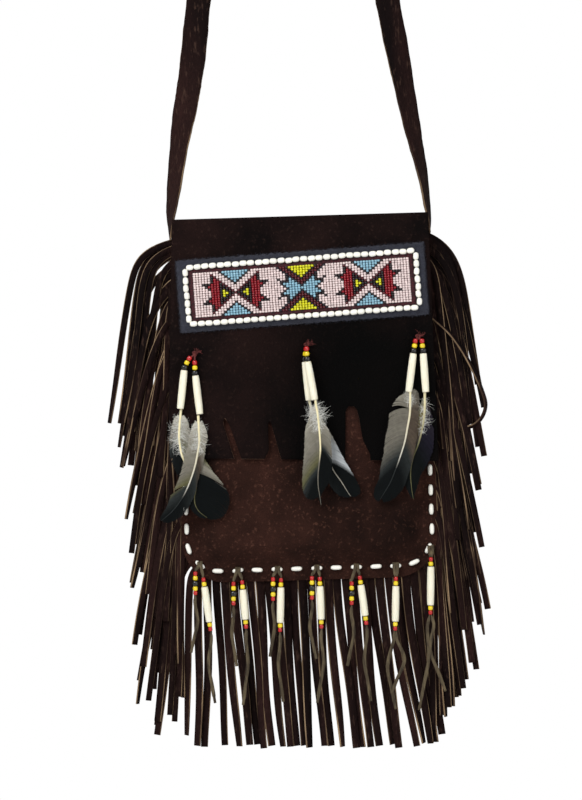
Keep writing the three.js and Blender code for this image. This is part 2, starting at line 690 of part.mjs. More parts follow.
// One bead strand: stations along it from the knot, each bead swelling and closing again.
function strandRod(strand, knot) {
  const lean = THREE.MathUtils.degToRad(strand.lean);
  const depth = strandDepth(strand);
  const centres = strand.beads.map(([x, z]) => new THREE.Vector3(x, depth, z));
  const section = [
    [-0.46, THONG_WAIST], [-0.25, PONY_RADIUS], [0.25, PONY_RADIUS], [0.46, THONG_WAIST],
  ];
  const points = [knot];
  const radii = [THONG_RADIUS];
  centres.forEach((centre, i) => {
    const after = centres[i + 1] || linePoint(centre, lean, PONY_LENGTH);
    const along = after.clone().sub(centre).normalize();
    section.forEach(([share, radius]) => {
      points.push(centre.clone().addScaledVector(along, share * PONY_LENGTH));
      radii.push(radius);
    });
  });
  return beadedRod(points, radii, 8);
}

// Two bead strands that run from one knot, fused in one solid with it.
function makeStrungThong(drop) {
  const knotPoint = new THREE.Vector3(0, FLAP_FRONT - GAP - KNOT_RADIUS, 0);
  const knot = new THREE.SphereGeometry(KNOT_RADIUS, 8, 6).translate(...knotPoint.toArray());
  return unite([knot, strandRod(drop.front, knotPoint), strandRod(drop.rear, knotPoint)]);
}

// The value part of the way along a list of evenly spaced values.
function valueAlong(list, t) {
  const at = t * (list.length - 1);
  const low = Math.min(Math.floor(at), list.length - 2);
  return THREE.MathUtils.lerp(list[low], list[low + 1], at - low);
}

// A flat blade that follows the shaft, with its own width on each side.
function makeFeather(strand, foot, y) {
  const points = [[foot.x, foot.z], ...strand.shaft];
  const shaft = new THREE.SplineCurve(points.map(([x, z]) => new THREE.Vector2(x, z)));
  const steps = 14;
  const leftEdge = [];
  const rightEdge = [];
  for (let i = 0; i <= steps; i += 1) {
    const t = i / steps;
    const point = shaft.getPoint(t);
    const along = shaft.getTangent(t);
    const right = valueAlong(strand.right, t);
    const left = valueAlong(strand.left, t);
    rightEdge.push([point.x - along.y * right, point.y + along.x * right]);
    leftEdge.unshift([point.x + along.y * left, point.y - along.x * left]);
  }
  return slab(outline([...leftEdge, ...rightEdge]), y, FEATHER_THICKNESS);
}

// One drop: a knot, two strands, two hairpipes and two feathers, plumb from its knot.
function addDrop(flap, drop, index) {
  const group = new THREE.Group();
  const below = FELT_HEIGHT / 2 + DROP_BELOW_FELT;
  group.position.set((index - 1) * DROP_SPACING + DROP_SHIFT, 0, -below);
  group.rotation.y = BAG_TILT + BEADWORK_SKEW;
  flap.add(group);
  addPiece(group, `drop_${drop.name}_thong`, makeStrungThong(drop), FINISH.ponyBeads);
  const featherDepth = {
    front: strandDepth(drop.front) - FRONT_FEATHER_FORWARD,
    rear: STRAND_Y + REAR_FEATHER_BACK,
  };
  ['front', 'rear'].forEach((place) => {
    const strand = drop[place];
    const lean = THREE.MathUtils.degToRad(strand.lean);
    const pipe = hairpipe(DROP_PIPE_LENGTH, PAIR_BORE);
    const mesh = addPiece(group, `drop_${drop.name}_hairpipe_${place}`, pipe, FINISH.bone);
    const pipeTop = PONY_LENGTH / 2 + GAP;
    placeOnLine(mesh, lastBead(strand), lean, pipeTop + DROP_PIPE_LENGTH / 2);
    const foot = linePoint(lastBead(strand), lean, pipeTop + DROP_PIPE_LENGTH + 2 * GAP);
    const feather = makeFeather(strand, foot, featherDepth[place]);
    addPiece(group, `drop_${drop.name}_feather_${place}`, feather, FINISH.feather);
  });
}

// A place of the bag's own frame, in the frame of the whole.
function toWorld(x, y, z) {
  const turned = new THREE.Vector3(x, y, z).applyAxisAngle(new THREE.Vector3(0, 1, 0), -BAG_TILT);
  return turned.add(new THREE.Vector3(BAG_SHIFT, 0, -STRAP_DROP));
}

// The strap's turn from edge-on, one, to facing the viewer, nought, by its share of the length.
function edgeOn(share) {
  const fromEnd = Math.min(share, 1 - share);
  const low = 1 - THREE.MathUtils.smoothstep(fromEnd, ...LOWER_TURN);
  const high = THREE.MathUtils.smoothstep(fromEnd, ...UPPER_TURN);
  return Math.max(low, high);
}

// Half of the strap's middle line, from one end up to the crown's shoulder.
function strapHalf(side) {
  const outside = HALF_WIDTH + GAP + STRAP_THICKNESS / 2;
  const start = toWorld(side * outside, 0, FOLD_TOP);
  const end = new THREE.Vector3(side * CROWN_RADIUS, 0, -CROWN_RADIUS);
  const shares = [0.1, 0.3, 0.5, 0.75, 0.96];
  return [
    toWorld(side * outside, 0, FOLD_TOP - STRAP_TAB),
    toWorld(side * outside, 0, 0),
    ...shares.map((share) => start.clone().lerp(end, share)),
    new THREE.Vector3(side * CROWN_SHOULDER * CROWN_RADIUS, 0, -CROWN_SAG * CROWN_RADIUS),
  ];
}

// A band that is sewn to both sides, turns to face the viewer and turns back over the crown.
function makeStrap() {
  const crown = new THREE.Vector3(0, 0, STRAP_THICKNESS / 2);
  const points = [...strapHalf(-1), crown, ...strapHalf(1).reverse()];
  const curve = new THREE.CatmullRomCurve3(points, false, 'centripetal');
  const steps = 72;
  const depth = new THREE.Vector3(0, -1, 0);
  const middleY = BACK_FACE + STRAP_BEHIND - STRAP_WIDTH / 2;
  const corners = [[1, 1], [-1, 1], [-1, -1], [1, -1]];
  const rings = Array.from({ length: steps + 1 }, (_, i) => {
    const share = i / steps;
    const centre = curve.getPointAt(share).setY(middleY);
    const along = curve.getTangentAt(share);
    const outward = along.clone().cross(depth);
    const turn = (edgeOn(share) * Math.PI) / 2;
    const wide = outward.multiplyScalar(Math.cos(turn)).addScaledVector(depth, Math.sin(turn));
    const thick = along.clone().cross(wide);
    return corners.map(([a, b]) => centre.clone()
      .addScaledVector(wide, (a * STRAP_WIDTH) / 2)
      .addScaledVector(thick, (b * STRAP_THICKNESS) / 2));
  });
  return loft(rings);
}

const medicineBag = new THREE.Group();
const bag = new THREE.Group();
bag.position.set(BAG_SHIFT, 0, -STRAP_DROP);
bag.rotation.y = -BAG_TILT;
medicineBag.add(bag);

addPiece(bag, 'back_panel', makeBackPanel(), FINISH.suede);
addPiece(bag, 'front_panel', makeFrontPanel(), FINISH.suede);
addPiece(bag, 'seam_lace', makeSeamLace(), FINISH.whiteBeads);
addPiece(bag, 'fringe_bottom', makeBottomFringe(), FINISH.darkSuede);
addPiece(bag, 'fringe_left', makeSideFringe(LEFT_FRINGE), FINISH.darkSuede);
addPiece(bag, 'fringe_right', makeSideFringe(RIGHT_FRINGE), FINISH.darkSuede);
addPiece(bag, 'flap', makeFlap(), FINISH.suede);
addPiece(medicineBag, 'shoulder_strap', makeStrap(), FINISH.darkSuede);

const beadwork = new THREE.Group();
beadwork.position.z = -BEADWORK_DROP;
beadwork.rotation.y = -BEADWORK_SKEW;
bag.add(beadwork);
const felt = slab(rectangle(FELT_WIDTH, FELT_HEIGHT), FLAP_FRONT - GAP, FELT_THICKNESS);
addPiece(beadwork, 'felt_backing', felt, FINISH.felt);
const loom = slab(rectangle(LOOM_WIDTH, LOOM_HEIGHT), FELT_FRONT - GAP, LOOM_THICKNESS);
addPiece(beadwork, 'loom_beadwork', loom, FINISH.seedBeads);
addPiece(beadwork, 'bead_frame', makeBeadFrame(), FINISH.whiteBeads);

DROPS.forEach((drop, index) => addDrop(beadwork, drop, index));
TASSELS.forEach((tassel, index) => addTassel(bag, tassel, index + 1));

export default medicineBag;
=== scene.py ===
"""A beaded medicine bag of dark suede: pouch, beaded flap, feather drops, tassels, fringes, strap.

Lengths in the sections are millimetres of the bag's own frame unless they say metres.
"""

import math

import bmesh
import bpy
import numpy as np
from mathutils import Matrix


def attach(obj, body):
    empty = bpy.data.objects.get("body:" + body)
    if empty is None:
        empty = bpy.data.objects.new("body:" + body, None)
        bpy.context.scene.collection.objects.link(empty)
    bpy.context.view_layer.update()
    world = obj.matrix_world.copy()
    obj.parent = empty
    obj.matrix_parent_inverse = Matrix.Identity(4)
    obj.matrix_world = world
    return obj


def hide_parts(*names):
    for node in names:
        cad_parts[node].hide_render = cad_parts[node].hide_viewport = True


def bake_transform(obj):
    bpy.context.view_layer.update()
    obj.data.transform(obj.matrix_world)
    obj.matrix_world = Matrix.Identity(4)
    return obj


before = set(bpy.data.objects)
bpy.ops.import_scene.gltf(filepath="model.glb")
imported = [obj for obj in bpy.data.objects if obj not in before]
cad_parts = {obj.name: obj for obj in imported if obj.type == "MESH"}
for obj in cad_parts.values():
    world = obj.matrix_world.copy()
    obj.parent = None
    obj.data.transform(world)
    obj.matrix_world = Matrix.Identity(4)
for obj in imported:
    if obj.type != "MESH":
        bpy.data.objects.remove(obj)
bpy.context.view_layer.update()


# The stage: a pale floor, white surroundings that only the camera sees as pure white, and two
# large soft lamps. The camera stands level, straight in front, and sees 744 mm of height.
def linked(name, data):
    """An object that holds this data, in the scene."""
    made = bpy.data.objects.new(name, data)
    bpy.context.scene.collection.objects.link(made)
    return made


def add(tree, kind, inputs=None, **settings):
    """Adds a node to a tree, with its settings, and fills its inputs with values or links."""
    made = tree.nodes.new("ShaderNode" + kind)
    for key, value in settings.items():
        setattr(made, key, value)
    for key, value in (inputs or {}).items():
        if isinstance(value, bpy.types.NodeSocket):
            tree.links.new(value, made.inputs[key])
        else:
            made.inputs[key].default_value = value
    return made


def rgb(red, green, blue):
    """A screen colour, each part from 0 to 255, as the linear colour that shaders take."""
    part = np.array([red, green, blue]) / 255
    linear = np.where(part <= 0.04045, part / 12.92, ((part + 0.055) / 1.055) ** 2.4)
    return (*linear.tolist(), 1.0)


VIEW_DISTANCE = 2.6
VIEW_HEIGHT = 0.744
lens = bpy.data.cameras.new("view")
lens.sensor_fit = "VERTICAL"
lens.sensor_height = 24
lens.lens = lens.sensor_height * VIEW_DISTANCE / VIEW_HEIGHT
camera = linked("view", lens)
camera.location = (-0.0009, -VIEW_DISTANCE, -0.5723)
camera.rotation_euler = (math.pi / 2, 0, 0)
bpy.context.scene.camera = camera
bpy.context.scene.view_settings.view_transform = "Standard"

world = bpy.data.worlds.new("studio")
bpy.context.scene.world = world
world.use_nodes = True
world.node_tree.nodes.clear()
seen = add(world.node_tree, "LightPath")
soft = add(world.node_tree, "Background", {"Color": (1, 1, 1, 1), "Strength": 0.55})
white = add(world.node_tree, "Background", {"Color": (1, 1, 1, 1), "Strength": 1.0})
choice = add(world.node_tree, "MixShader", {0: seen.outputs["Is Camera Ray"]})
world.node_tree.links.new(soft.outputs[0], choice.inputs[1])
world.node_tree.links.new(white.outputs[0], choice.inputs[2])
add(world.node_tree, "OutputWorld", {0: choice.outputs[0]})

for name, place, size, watts in (
    ("key", (-1.0, -1.7, 0.5), 1.1, 34),
    ("fill", (1.3, -1.5, -0.5), 1.4, 9),
):
    lamp = bpy.data.lights.new(name, "AREA")
    lamp.size = size
    lamp.energy = watts
    body = linked(name, lamp)
    body.location = place
    aim = np.array([0, 0, -0.58]) - np.array(place)
    body.rotation_euler = (
        math.acos(-aim[2] / np.linalg.norm(aim)), 0, math.atan2(aim[1], aim[0]) - math.pi / 2,
    )

paint = bpy.data.materials.new("stage")
paint.use_nodes = True
paint.node_tree.nodes.clear()
seen = add(paint.node_tree, "LightPath")
pale = add(paint.node_tree, "BsdfDiffuse", {"Color": (0.8, 0.8, 0.8, 1)})
white = add(paint.node_tree, "Emission", {"Color": (1, 1, 1, 1), "Strength": 1.0})
choice = add(paint.node_tree, "MixShader", {
    0: seen.outputs["Is Camera Ray"], 1: pale.outputs[0], 2: white.outputs[0],
})
add(paint.node_tree, "OutputMaterial", {0: choice.outputs[0]})
floor_mesh = bpy.data.meshes.new("floor")
floor_mesh.from_pydata(
    [(-4, -4, -1.05), (4, -4, -1.05), (4, 4, -1.05), (-4, 4, -1.05)], [], [(0, 1, 2, 3)],
)
floor_mesh.materials.append(paint)
floor = linked("floor", floor_mesh)


# The back panel and the flap: one piece of dark brushed suede that goes up behind the pocket,
# folds forward over the mouth and hangs in front of it. Its colours are darker than the front
# panel's, partly as painted shade. Slits cut its hem into six loose tabs.
TILT = math.radians(1.7)
HALF_WIDTH = 119.0
BAG_HEIGHT = 336.0
CORNER = 40.0
MOUTH_X, MOUTH_Z = 7.5, -404


def hung(points):
    """Points of the bag's frame, from the middle of the mouth, in the row frame in metres:
    turned so that the right side is 1.7 degrees higher, then moved to where the mouth hangs."""
    p = np.asarray(points, float)
    x = p[..., 0] * math.cos(TILT) - p[..., 2] * math.sin(TILT) + MOUTH_X
    z = p[..., 0] * math.sin(TILT) + p[..., 2] * math.cos(TILT) + MOUTH_Z
    return np.stack([x, p[..., 1], z], axis=-1) / 1000


def grid_faces(rows, columns, wrap=False, wrap_rows=False):
    """Four-sided faces over rows by columns of points in reading order. wrap joins the last
    column to the first, and wrap_rows the last row to the first."""
    r = np.arange(rows if wrap_rows else rows - 1)[:, None]
    c = np.arange(columns if wrap else columns - 1)[None]
    low, high = r * columns, ((r + 1) % rows) * columns
    right = (c + 1) % columns
    return np.stack([low + c, low + right, high + right, high + c], axis=-1).reshape(-1, 4)


def piece(name, points, faces, finish, values=None, outward=False):
    """A smooth mesh object from an array of points and lists of faces. values are numbers or
    colours, one for each face, kept by name. outward turns closed skins' faces outwards."""
    mesh = bpy.data.meshes.new(name)
    faces = [f if isinstance(f, list) else f.tolist() for f in faces]
    mesh.from_pydata(np.asarray(points).reshape(-1, 3).tolist(), [], faces)
    if outward:
        edit = bmesh.new()
        edit.from_mesh(mesh)
        bmesh.ops.recalc_face_normals(edit, faces=edit.faces)
        edit.to_mesh(mesh)
        edit.free()
    for key, value in (values or {}).items():
        value = np.asarray(value, np.float32)
        kind, slot = ("FLOAT", "value") if value.ndim == 1 else ("FLOAT_COLOR", "color")
        mesh.attributes.new(key, kind, "FACE").data.foreach_set(slot, value.ravel())
    mesh.shade_smooth()
    for paint in finish if isinstance(finish, (list, tuple)) else [finish]:
        mesh.materials.append(paint)
    return linked(name, mesh)


def effect(name, inputs, outputs):
    """A new shader node group with these sockets, and its input and output nodes."""
    tree = bpy.data.node_groups.new(name, "ShaderNodeTree")
    for side, sockets in (("INPUT", inputs), ("OUTPUT", outputs)):
        for key, kind in sockets.items():
            tree.interface.new_socket(key, in_out=side, socket_type="NodeSocket" + kind)
    return tree, tree.nodes.new("NodeGroupInput").outputs, tree.nodes.new("NodeGroupOutput").inputs


def mixed(tree, share, first, second, blend="MIX"):
    """The colour between two others, by a share."""
    sockets = {0: share, 6: first, 7: second}
    return add(tree, "Mix", sockets, data_type="RGBA", blend_type=blend).outputs[2]


def noise(tree, where, scale, detail=2.0, rough=0.5):
    """Cloudy noise from 0 to 1, this many waves to the metre."""
    return add(tree, "TexNoise", {
        "Vector": where, "Scale": scale, "Detail": detail, "Roughness": rough,
    }).outputs["Fac"]


def ranged(tree, value, low, high, to_low=0.0, to_high=1.0):
    """The value, moved from one range to another and kept in it."""
    return add(tree, "MapRange", {
        "Value": value, "From Min": low, "From Max": high, "To Min": to_low, "To Max": to_high,
    }).outputs[0]


# Suede nap: wide brushed patches, short fibres and lighter specks where the nap is worn.
nap, given, out = effect(
    "Suede nap",
    {"Vector": "Vector", "Dark": "Color", "Light": "Color", "Speck": "Color", "Wear": "Float"},
    {"Color": "Color", "Height": "Float"},
)
brushed = ranged(nap, noise(nap, given["Vector"], 16, 3, 0.6), 0.36, 0.68)
fibre = noise(nap, given["Vector"], 900, 3, 0.7)
grain = ranged(nap, noise(nap, given["Vector"], 330, 2, 0.6), 0.3, 0.75)
tone = add(nap, "Math", {0: brushed, 1: ranged(nap, fibre, 0.3, 0.7, 0.35, 1)}, operation="MULTIPLY")
worn = add(nap, "Math", {0: ranged(nap, grain, 0.62, 0.95), 1: given["Wear"]}, operation="MULTIPLY")
colour = mixed(nap, tone.outputs[0], given["Dark"], given["Light"])
nap.links.new(mixed(nap, worn.outputs[0], colour, given["Speck"]), out["Color"])
height = add(nap, "Math", {0: fibre, 1: grain}, operation="ADD")
nap.links.new(height.outputs[0], out["Height"])


def material(name):
    """A new material with an empty tree, its Principled shader and its Object coordinates."""
    made = bpy.data.materials.new(name)
    made.use_nodes = True
    made.node_tree.nodes.clear()
    shader = add(made.node_tree, "BsdfPrincipled")
    add(made.node_tree, "OutputMaterial", {0: shader.outputs[0]})
    return made, made.node_tree, shader, add(made.node_tree, "TexCoord").outputs["Object"]


def bumped(tree, shader, height, depth):
    """Gives a shader small relief from a height."""
    made = add(tree, "Bump", {"Height": height, "Distance": depth, "Strength": 1.0})
    tree.links.new(made.outputs[0], shader.inputs["Normal"])


def suede(name, dark, light, speck, wear, shade_patch=None):
    """Suede: the nap's colours on a rough shader with a soft sheen. Inside the given patch (a point,
    a radius in metres and a share) the suede is painted darker: painted shade and flattened nap."""
    made, tree, shader, where = material(name)
    skin = add(tree, "Group", node_tree=nap)
    for key, value in {"Dark": dark, "Light": light, "Speck": speck, "Wear": wear}.items():
        skin.inputs[key].default_value = value
    tree.links.new(where, skin.inputs["Vector"])
    shown = skin.outputs["Color"]
    if shade_patch:
        # Painted shade: towards the patch's point the colour is mixed with near-black.
        far = add(tree, "VectorMath", {0: where, 1: shade_patch[0]}, operation="DISTANCE")
        flat = ranged(tree, far.outputs["Value"], shade_patch[1] * 0.35, shade_patch[1], shade_patch[2], 0.0)
        shown = mixed(tree, flat, shown, rgb(3, 3, 3))
    tree.links.new(shown, shader.inputs["Base Color"])
    shader.inputs["Roughness"].default_value = 0.95
    shader.inputs["Specular IOR Level"].default_value = 0.06
    shader.inputs["Sheen Weight"].default_value = 0.03
    shader.inputs["Sheen Roughness"].default_value = 0.45
    shader.inputs["Sheen Tint"].default_value = rgb(150, 110, 95)
    bumped(tree, shader, skin.outputs["Height"], 0.0006)
    return made


# Colours set darker than the front panel's, partly as painted shade; the patch paints a pool of shade
# on the flap's right middle.
flap_suede_and_painted_shade = suede(
    "flap_suede_and_painted_shade", rgb(11, 7, 7), rgb(36, 22, 20), rgb(66, 48, 42), 0.25,
    shade_patch=((0.075, -0.014, -0.575), 0.15, 0.95),
)
cut_edge = suede("cut_edge", rgb(70, 48, 40), rgb(150, 118, 96), rgb(214, 190, 165), 0.7)

# Each slit: its left and its right edge, as heights below the mouth and places across.
SLITS = (
    ((186, 190, 224), (-75.6, -77.0, -67.4), (-75.0, -71.6, -60.6)),
    ((188, 192, 216, 226), (-34.4, -35.4, -35.2, -41.0), (-33.8, -32.0, -26.2, -23.6)),
    ((184, 188, 226), (10.4, 9.4, 8.0), (11.0, 12.4, 16.0)),
    ((172, 178, 206, 218, 228), (41.6, 36.8, 35.8, 35.4, 35.2), (42.2, 47.6, 52.2, 58.2, 58.4)),
    ((184, 188, 228), (91.4, 90.2, 88.0), (92.0, 93.6, 97.0)),
)


def flap_relief(x, drop):
    """Y of the flap's middle: two slow waves that grow towards the hem, a low curl by the
    leftmost slit, and free corners of tabs that lift a little where no feather lies on them."""
    grow = np.clip(drop / 223, 0, 1)
    waves = 0.35 * grow * np.sin(x / 27 + drop / 61) + 0.2 * grow * np.sin(x / 13 - 1)
    curl = 2.2 * np.exp(-(((drop - 178 - 0.28 * (x + 95)) / 3.4) ** 2))
    curl = curl * np.exp(-(((x + 78) / 17) ** 4))
    corners = np.exp(-(((x + 52) / 19) ** 2)) + 0.8 * np.exp(-(((x - 61) / 9) ** 2))
    lift = 3.4 * np.clip((drop - 184) / 40, 0, 1) ** 2 * corners
    return -13.55 - waves - curl - lift


def half_width_at(drop):
    """The pouch's half width at a height: straight sides, then a quarter circle at each corner."""
    into = np.clip(drop - (BAG_HEIGHT - CORNER), 0, CORNER)
    return HALF_WIDTH - CORNER + np.sqrt(CORNER**2 - into**2)


tab_columns = 13
turn = BAG_HEIGHT - CORNER
back_drops = np.concatenate([
    turn + CORNER * np.sin(np.linspace(math.pi / 2, 0, 12)), np.linspace(turn, 0, 66)[1:],
])
bend = np.linspace(0, math.pi / 2, 5)
fold_y = np.concatenate([
    6.7 + 1.3 * np.cos(bend), np.linspace(6, -11.5, 9), -12.25 - 1.3 * np.sin(bend),
])
fold_z = np.concatenate([1.3 * np.sin(bend), np.full(9, 1.3), 1.3 * np.cos(bend)])
flap_drops = np.linspace(0, 1, 78)[1:]
above_flap = len(back_drops) + len(fold_y)
rows = above_flap + len(flap_drops)

# The tabs' sides in each row, from the left edge to the right.
hem_share = np.concatenate([np.zeros(above_flap), flap_drops])
drop_now = hem_share * 224
at_fold = np.ones(len(fold_y))
left_side = np.concatenate([-half_width_at(back_drops), -118.6 * at_fold, -118.6 - 10 * flap_drops])
right_side = np.concatenate([half_width_at(back_drops), 118.4 * at_fold, 118.4 + 3 * flap_drops])
edges = [left_side]
for drops, left, right in SLITS:
    edges += [np.interp(drop_now, drops, left), np.interp(drop_now, drops, right)]
edges = np.stack(edges + [right_side], axis=1)
squeeze = np.clip((right_side - left_side) / (2 * 118), 0.6, 1)[:, None]
edges[:, 1:-1] *= squeeze
within = np.linspace(0, 1, tab_columns)
x = (edges[:, 0::2, None] * (1 - within) + edges[:, 1::2, None] * within).reshape(rows, -1)
drop = np.concatenate([back_drops, -fold_z, np.zeros(len(flap_drops))])[:, None] + np.zeros_like(x)
hem = 223.5 + 0.04 * x[above_flap:]
drop[above_flap:] = flap_drops[:, None] * hem
y = np.concatenate([np.full(len(back_drops), 8.0), fold_y, flap_drops])[:, None] + np.zeros_like(x)
y[above_flap:] = flap_relief(x, drop)[above_flap:]
faces = grid_faces(rows, x.shape[1])
cell_row, cell_column = faces[:, 0] // x.shape[1], faces[:, 0] % x.shape[1]
slit = (cell_column % tab_columns) == tab_columns - 1
open_from = np.array([s[0][0] for s in SLITS] + [999])[np.minimum(cell_column // tab_columns, 5)]
faces = faces[~(slit & (drop_now[cell_row] > open_from))]
body_sheet = piece(
    "suede_back_and_flap", hung(np.stack([x, y, -drop], axis=-1)), faces, [flap_suede_and_painted_shade, cut_edge],
)


def thickened(obj, millimetres, rim=True, offset=0):
    """Gives a sheet its thickness: half on each side, or all of it outwards for an offset of 1
    and inwards for -1. With rim, the sheet's second material is on the rim."""
    solid = obj.modifiers.new("thickness", "SOLIDIFY")
    solid.thickness = millimetres / 1000
    solid.offset = offset
    solid.material_offset_rim = 1 if rim else 0


thickened(body_sheet, 1.7)
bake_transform(body_sheet)
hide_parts("back_panel", "flap")


# The front panel: a sheet of browner, worn suede, sewn to the back round three sides. It bellies
# out over the pocket and puckers between the stitches of the seam.
# Its patch paints a little shade, with flattened nap, low on the pouch's right.
pouch_suede = suede(
    "pouch_suede", rgb(26, 15, 12), rgb(62, 37, 30), rgb(96, 64, 52), 0.45,
    shade_patch=((0.08, -0.011, -0.7), 0.06, 0.3),
)
STITCH_PITCH = 18.35


def panel_height(x, drop):
    """Y of the front panel's middle: flat along the seam, then a smooth slope to the belly, with
    shallow waves on it, and puckers on the slope's foot at the pitch of the stitches."""
    corner_x, corner_drop = np.abs(x) - (HALF_WIDTH - CORNER), drop - (BAG_HEIGHT - CORNER)
    inset = np.minimum(HALF_WIDTH - np.abs(x), BAG_HEIGHT - drop)
    rounded = (corner_x > 0) & (corner_drop > 0)
    inset = np.where(rounded, CORNER - np.hypot(corner_x, corner_drop), inset)
    rise = np.clip((inset - 12) / 24, 0, 1)
    rise = rise * rise * (3 - 2 * rise)
    along = np.where(HALF_WIDTH - np.abs(x) < BAG_HEIGHT - drop, drop, x)
    pucker = 0.9 * np.exp(-(((inset - 17) / 5) ** 2)) * np.sin(2 * math.pi * along / STITCH_PITCH)
    waves = 0.5 * rise * (np.sin(x / 19 + drop / 23) + np.sin(drop / 15 - x / 31))
    return 3.4 - 13.4 * rise + pucker + waves


drops = np.concatenate([
    np.linspace(16, turn, 90), turn + CORNER * np.sin(np.linspace(0, math.pi / 2, 19))[1:],
])
side = np.sin(np.linspace(-0.5, 0.5, 90) * math.pi)
x = half_width_at(drops)[:, None] * side[None]
drop = drops[:, None] + np.zeros_like(x)
front_panel = piece(
    "suede_front", hung(np.stack([x, panel_height(x, drop), -drop], axis=-1)),
    grid_faces(*x.shape)[:, ::-1], [pouch_suede, cut_edge],
)
thickened(front_panel, 1.7)
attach(front_panel, "bag")
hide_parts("front_panel")


# The seam: ivory white rice beads on a lace that runs in and out of the panels' edge, down both
# sides and round the bottom. Between two beads the lace dives behind the leather. Only the beads
# are made here.
SEAM_TURN = 30
SEAM_INSET, SEAM_RISE = 5, 11  # how far it runs inside the pouch's side and bottom edges
SEAM_TOP = 24  # its upper ends, below the mouth
FIRST_BEAD = 6  # the middle bead's distance from the bottom's middle


def seam_at(distance):
    """Places on the seam, by distance along it from the bottom's middle: level, then a quarter
    circle of 30 mm, then straight up. Gives the place across and the height below the mouth."""
    far = np.abs(distance)
    straight, bottom = HALF_WIDTH - SEAM_INSET - SEAM_TURN, BAG_HEIGHT - SEAM_RISE
    arc = SEAM_TURN * math.pi / 2
    angle = np.clip((far - straight) / SEAM_TURN, 0, math.pi / 2)
    x = np.minimum(far, straight) + SEAM_TURN * np.sin(angle)
    drop = bottom - SEAM_TURN * (1 - np.cos(angle)) - np.clip(far - straight - arc, 0, None)
    return np.sign(distance) * x, drop


def beads_at(profile, centres, axes, sides):
    """Turned pieces, one at each centre along its axis. The profile, one for all or one each, is
    a closed line of radius and height, carried round the axis. Gives points and faces."""
    profile, centres, axes = np.asarray(profile, float), np.atleast_2d(centres), np.atleast_2d(axes)
    axes = axes / np.linalg.norm(axes, axis=1, keepdims=True)
    across = np.cross(axes, [0.0, 1.0, 0.0])
    across = across / np.linalg.norm(across, axis=1, keepdims=True)
    over = np.cross(axes, across)
    angle = np.linspace(0, 2 * math.pi, sides, endpoint=False)
    ring = across[:, None] * np.cos(angle)[:, None] + over[:, None] * np.sin(angle)[:, None]
    points = (
        centres[:, None, None] + ring[:, None] * profile[..., 0][..., None, None]
        + axes[:, None, None] * profile[..., 1][..., None, None]
    )
    rings = profile.shape[-2]
    one = grid_faces(rings, sides, wrap=True, wrap_rows=True)
    faces = one[None] + np.arange(len(centres))[:, None, None] * rings * sides
    return points, faces.reshape(-1, 4)


def grain_profile(radius, half, bore):
    """A bead's closed section: outside, a smooth bulge from end to end; inside, the bore."""
    t = np.linspace(-1, 1, 9)
    outside = bore * 1.25 + (radius - bore * 1.25) * np.sqrt(np.clip(1 - np.abs(t) ** 2.6, 0, 1))
    return np.concatenate([
        np.stack([outside, t * half], axis=1), [[bore, half * 0.96], [bore, -half * 0.96]],
    ])


# Glass: glossy, each bead a shade apart, with faint pale streaks.
def glass(name, rough, coat=0.0):
    """Bead glass: takes its colour from the faces' own attribute, with faint streaks."""
    made, tree, shader, where = material(name)
    own = add(tree, "Attribute", attribute_name="bead").outputs["Color"]
    streak = ranged(tree, noise(tree, where, 700, 2), 0.35, 0.7, 0.0, 0.22)
    shown = mixed(tree, streak, own, rgb(150, 140, 130), "SOFT_LIGHT")
    tree.links.new(shown, shader.inputs["Base Color"])
    uneven = ranged(tree, noise(tree, where, 1500, 2), 0.3, 0.7, rough * 0.7, rough * 1.5)
    tree.links.new(uneven, shader.inputs["Roughness"])
    shader.inputs["Coat Weight"].default_value = coat
    shader.inputs["Coat Roughness"].default_value = 0.08
    bumped(tree, shader, noise(tree, where, 1200, 2), 0.00012)
    return made


rice_glass = glass("rice_glass", 0.28)
chance = np.random.default_rng(7)
level, upright = HALF_WIDTH - SEAM_INSET - SEAM_TURN, BAG_HEIGHT - SEAM_RISE - SEAM_TURN - SEAM_TOP
seam_end = level + SEAM_TURN * math.pi / 2 + upright - 6
distance = FIRST_BEAD + np.arange(-36, 37) * STITCH_PITCH
distance = distance[np.abs(distance) < seam_end]
distance = distance + chance.normal(0, 0.25, len(distance))
x, drop = seam_at(distance)
ahead_x, ahead_drop = seam_at(distance + 0.5)
centres = np.stack([x, chance.normal(-0.05, 0.1, len(x)), -drop], axis=1)
axes = np.stack([ahead_x - x, np.zeros(len(x)), drop - ahead_drop], axis=1)
axes[:, 2] += chance.normal(0, 0.03, len(x))
points, faces = beads_at(grain_profile(2.15, 5.1, 0.7), centres, axes, 14)
shade = 0.83 + chance.random((len(x), 1)) * 0.12
tints = np.concatenate([shade * [1.0, 0.985, 0.9], np.ones((len(x), 1))], axis=1)
seam_beads = piece(
    "seam_rice_beads", hung(points), faces, rice_glass,
    {"bead": np.repeat(tints, len(faces) // len(x), axis=0)}, outward=True,
)
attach(seam_beads, "bag")
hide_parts("seam_lace")


def frames(paths, twist=0.0):
    """Unit vectors across and over each path: across is level with the picture and square to
    the path, over points to the back, and both are turned about the path by twist."""
    along = np.gradient(paths, axis=-2)
    along /= np.linalg.norm(along, axis=-1, keepdims=True)
    across = np.cross(along, [0.0, 1.0, 0.0])
    across /= np.linalg.norm(across, axis=-1, keepdims=True)
    over = np.cross(across, along)
    turn = np.asarray(twist, float)[..., None] + np.zeros_like(across[..., :1])
    return across * np.cos(turn) + over * np.sin(turn), over * np.cos(turn) - across * np.sin(turn)


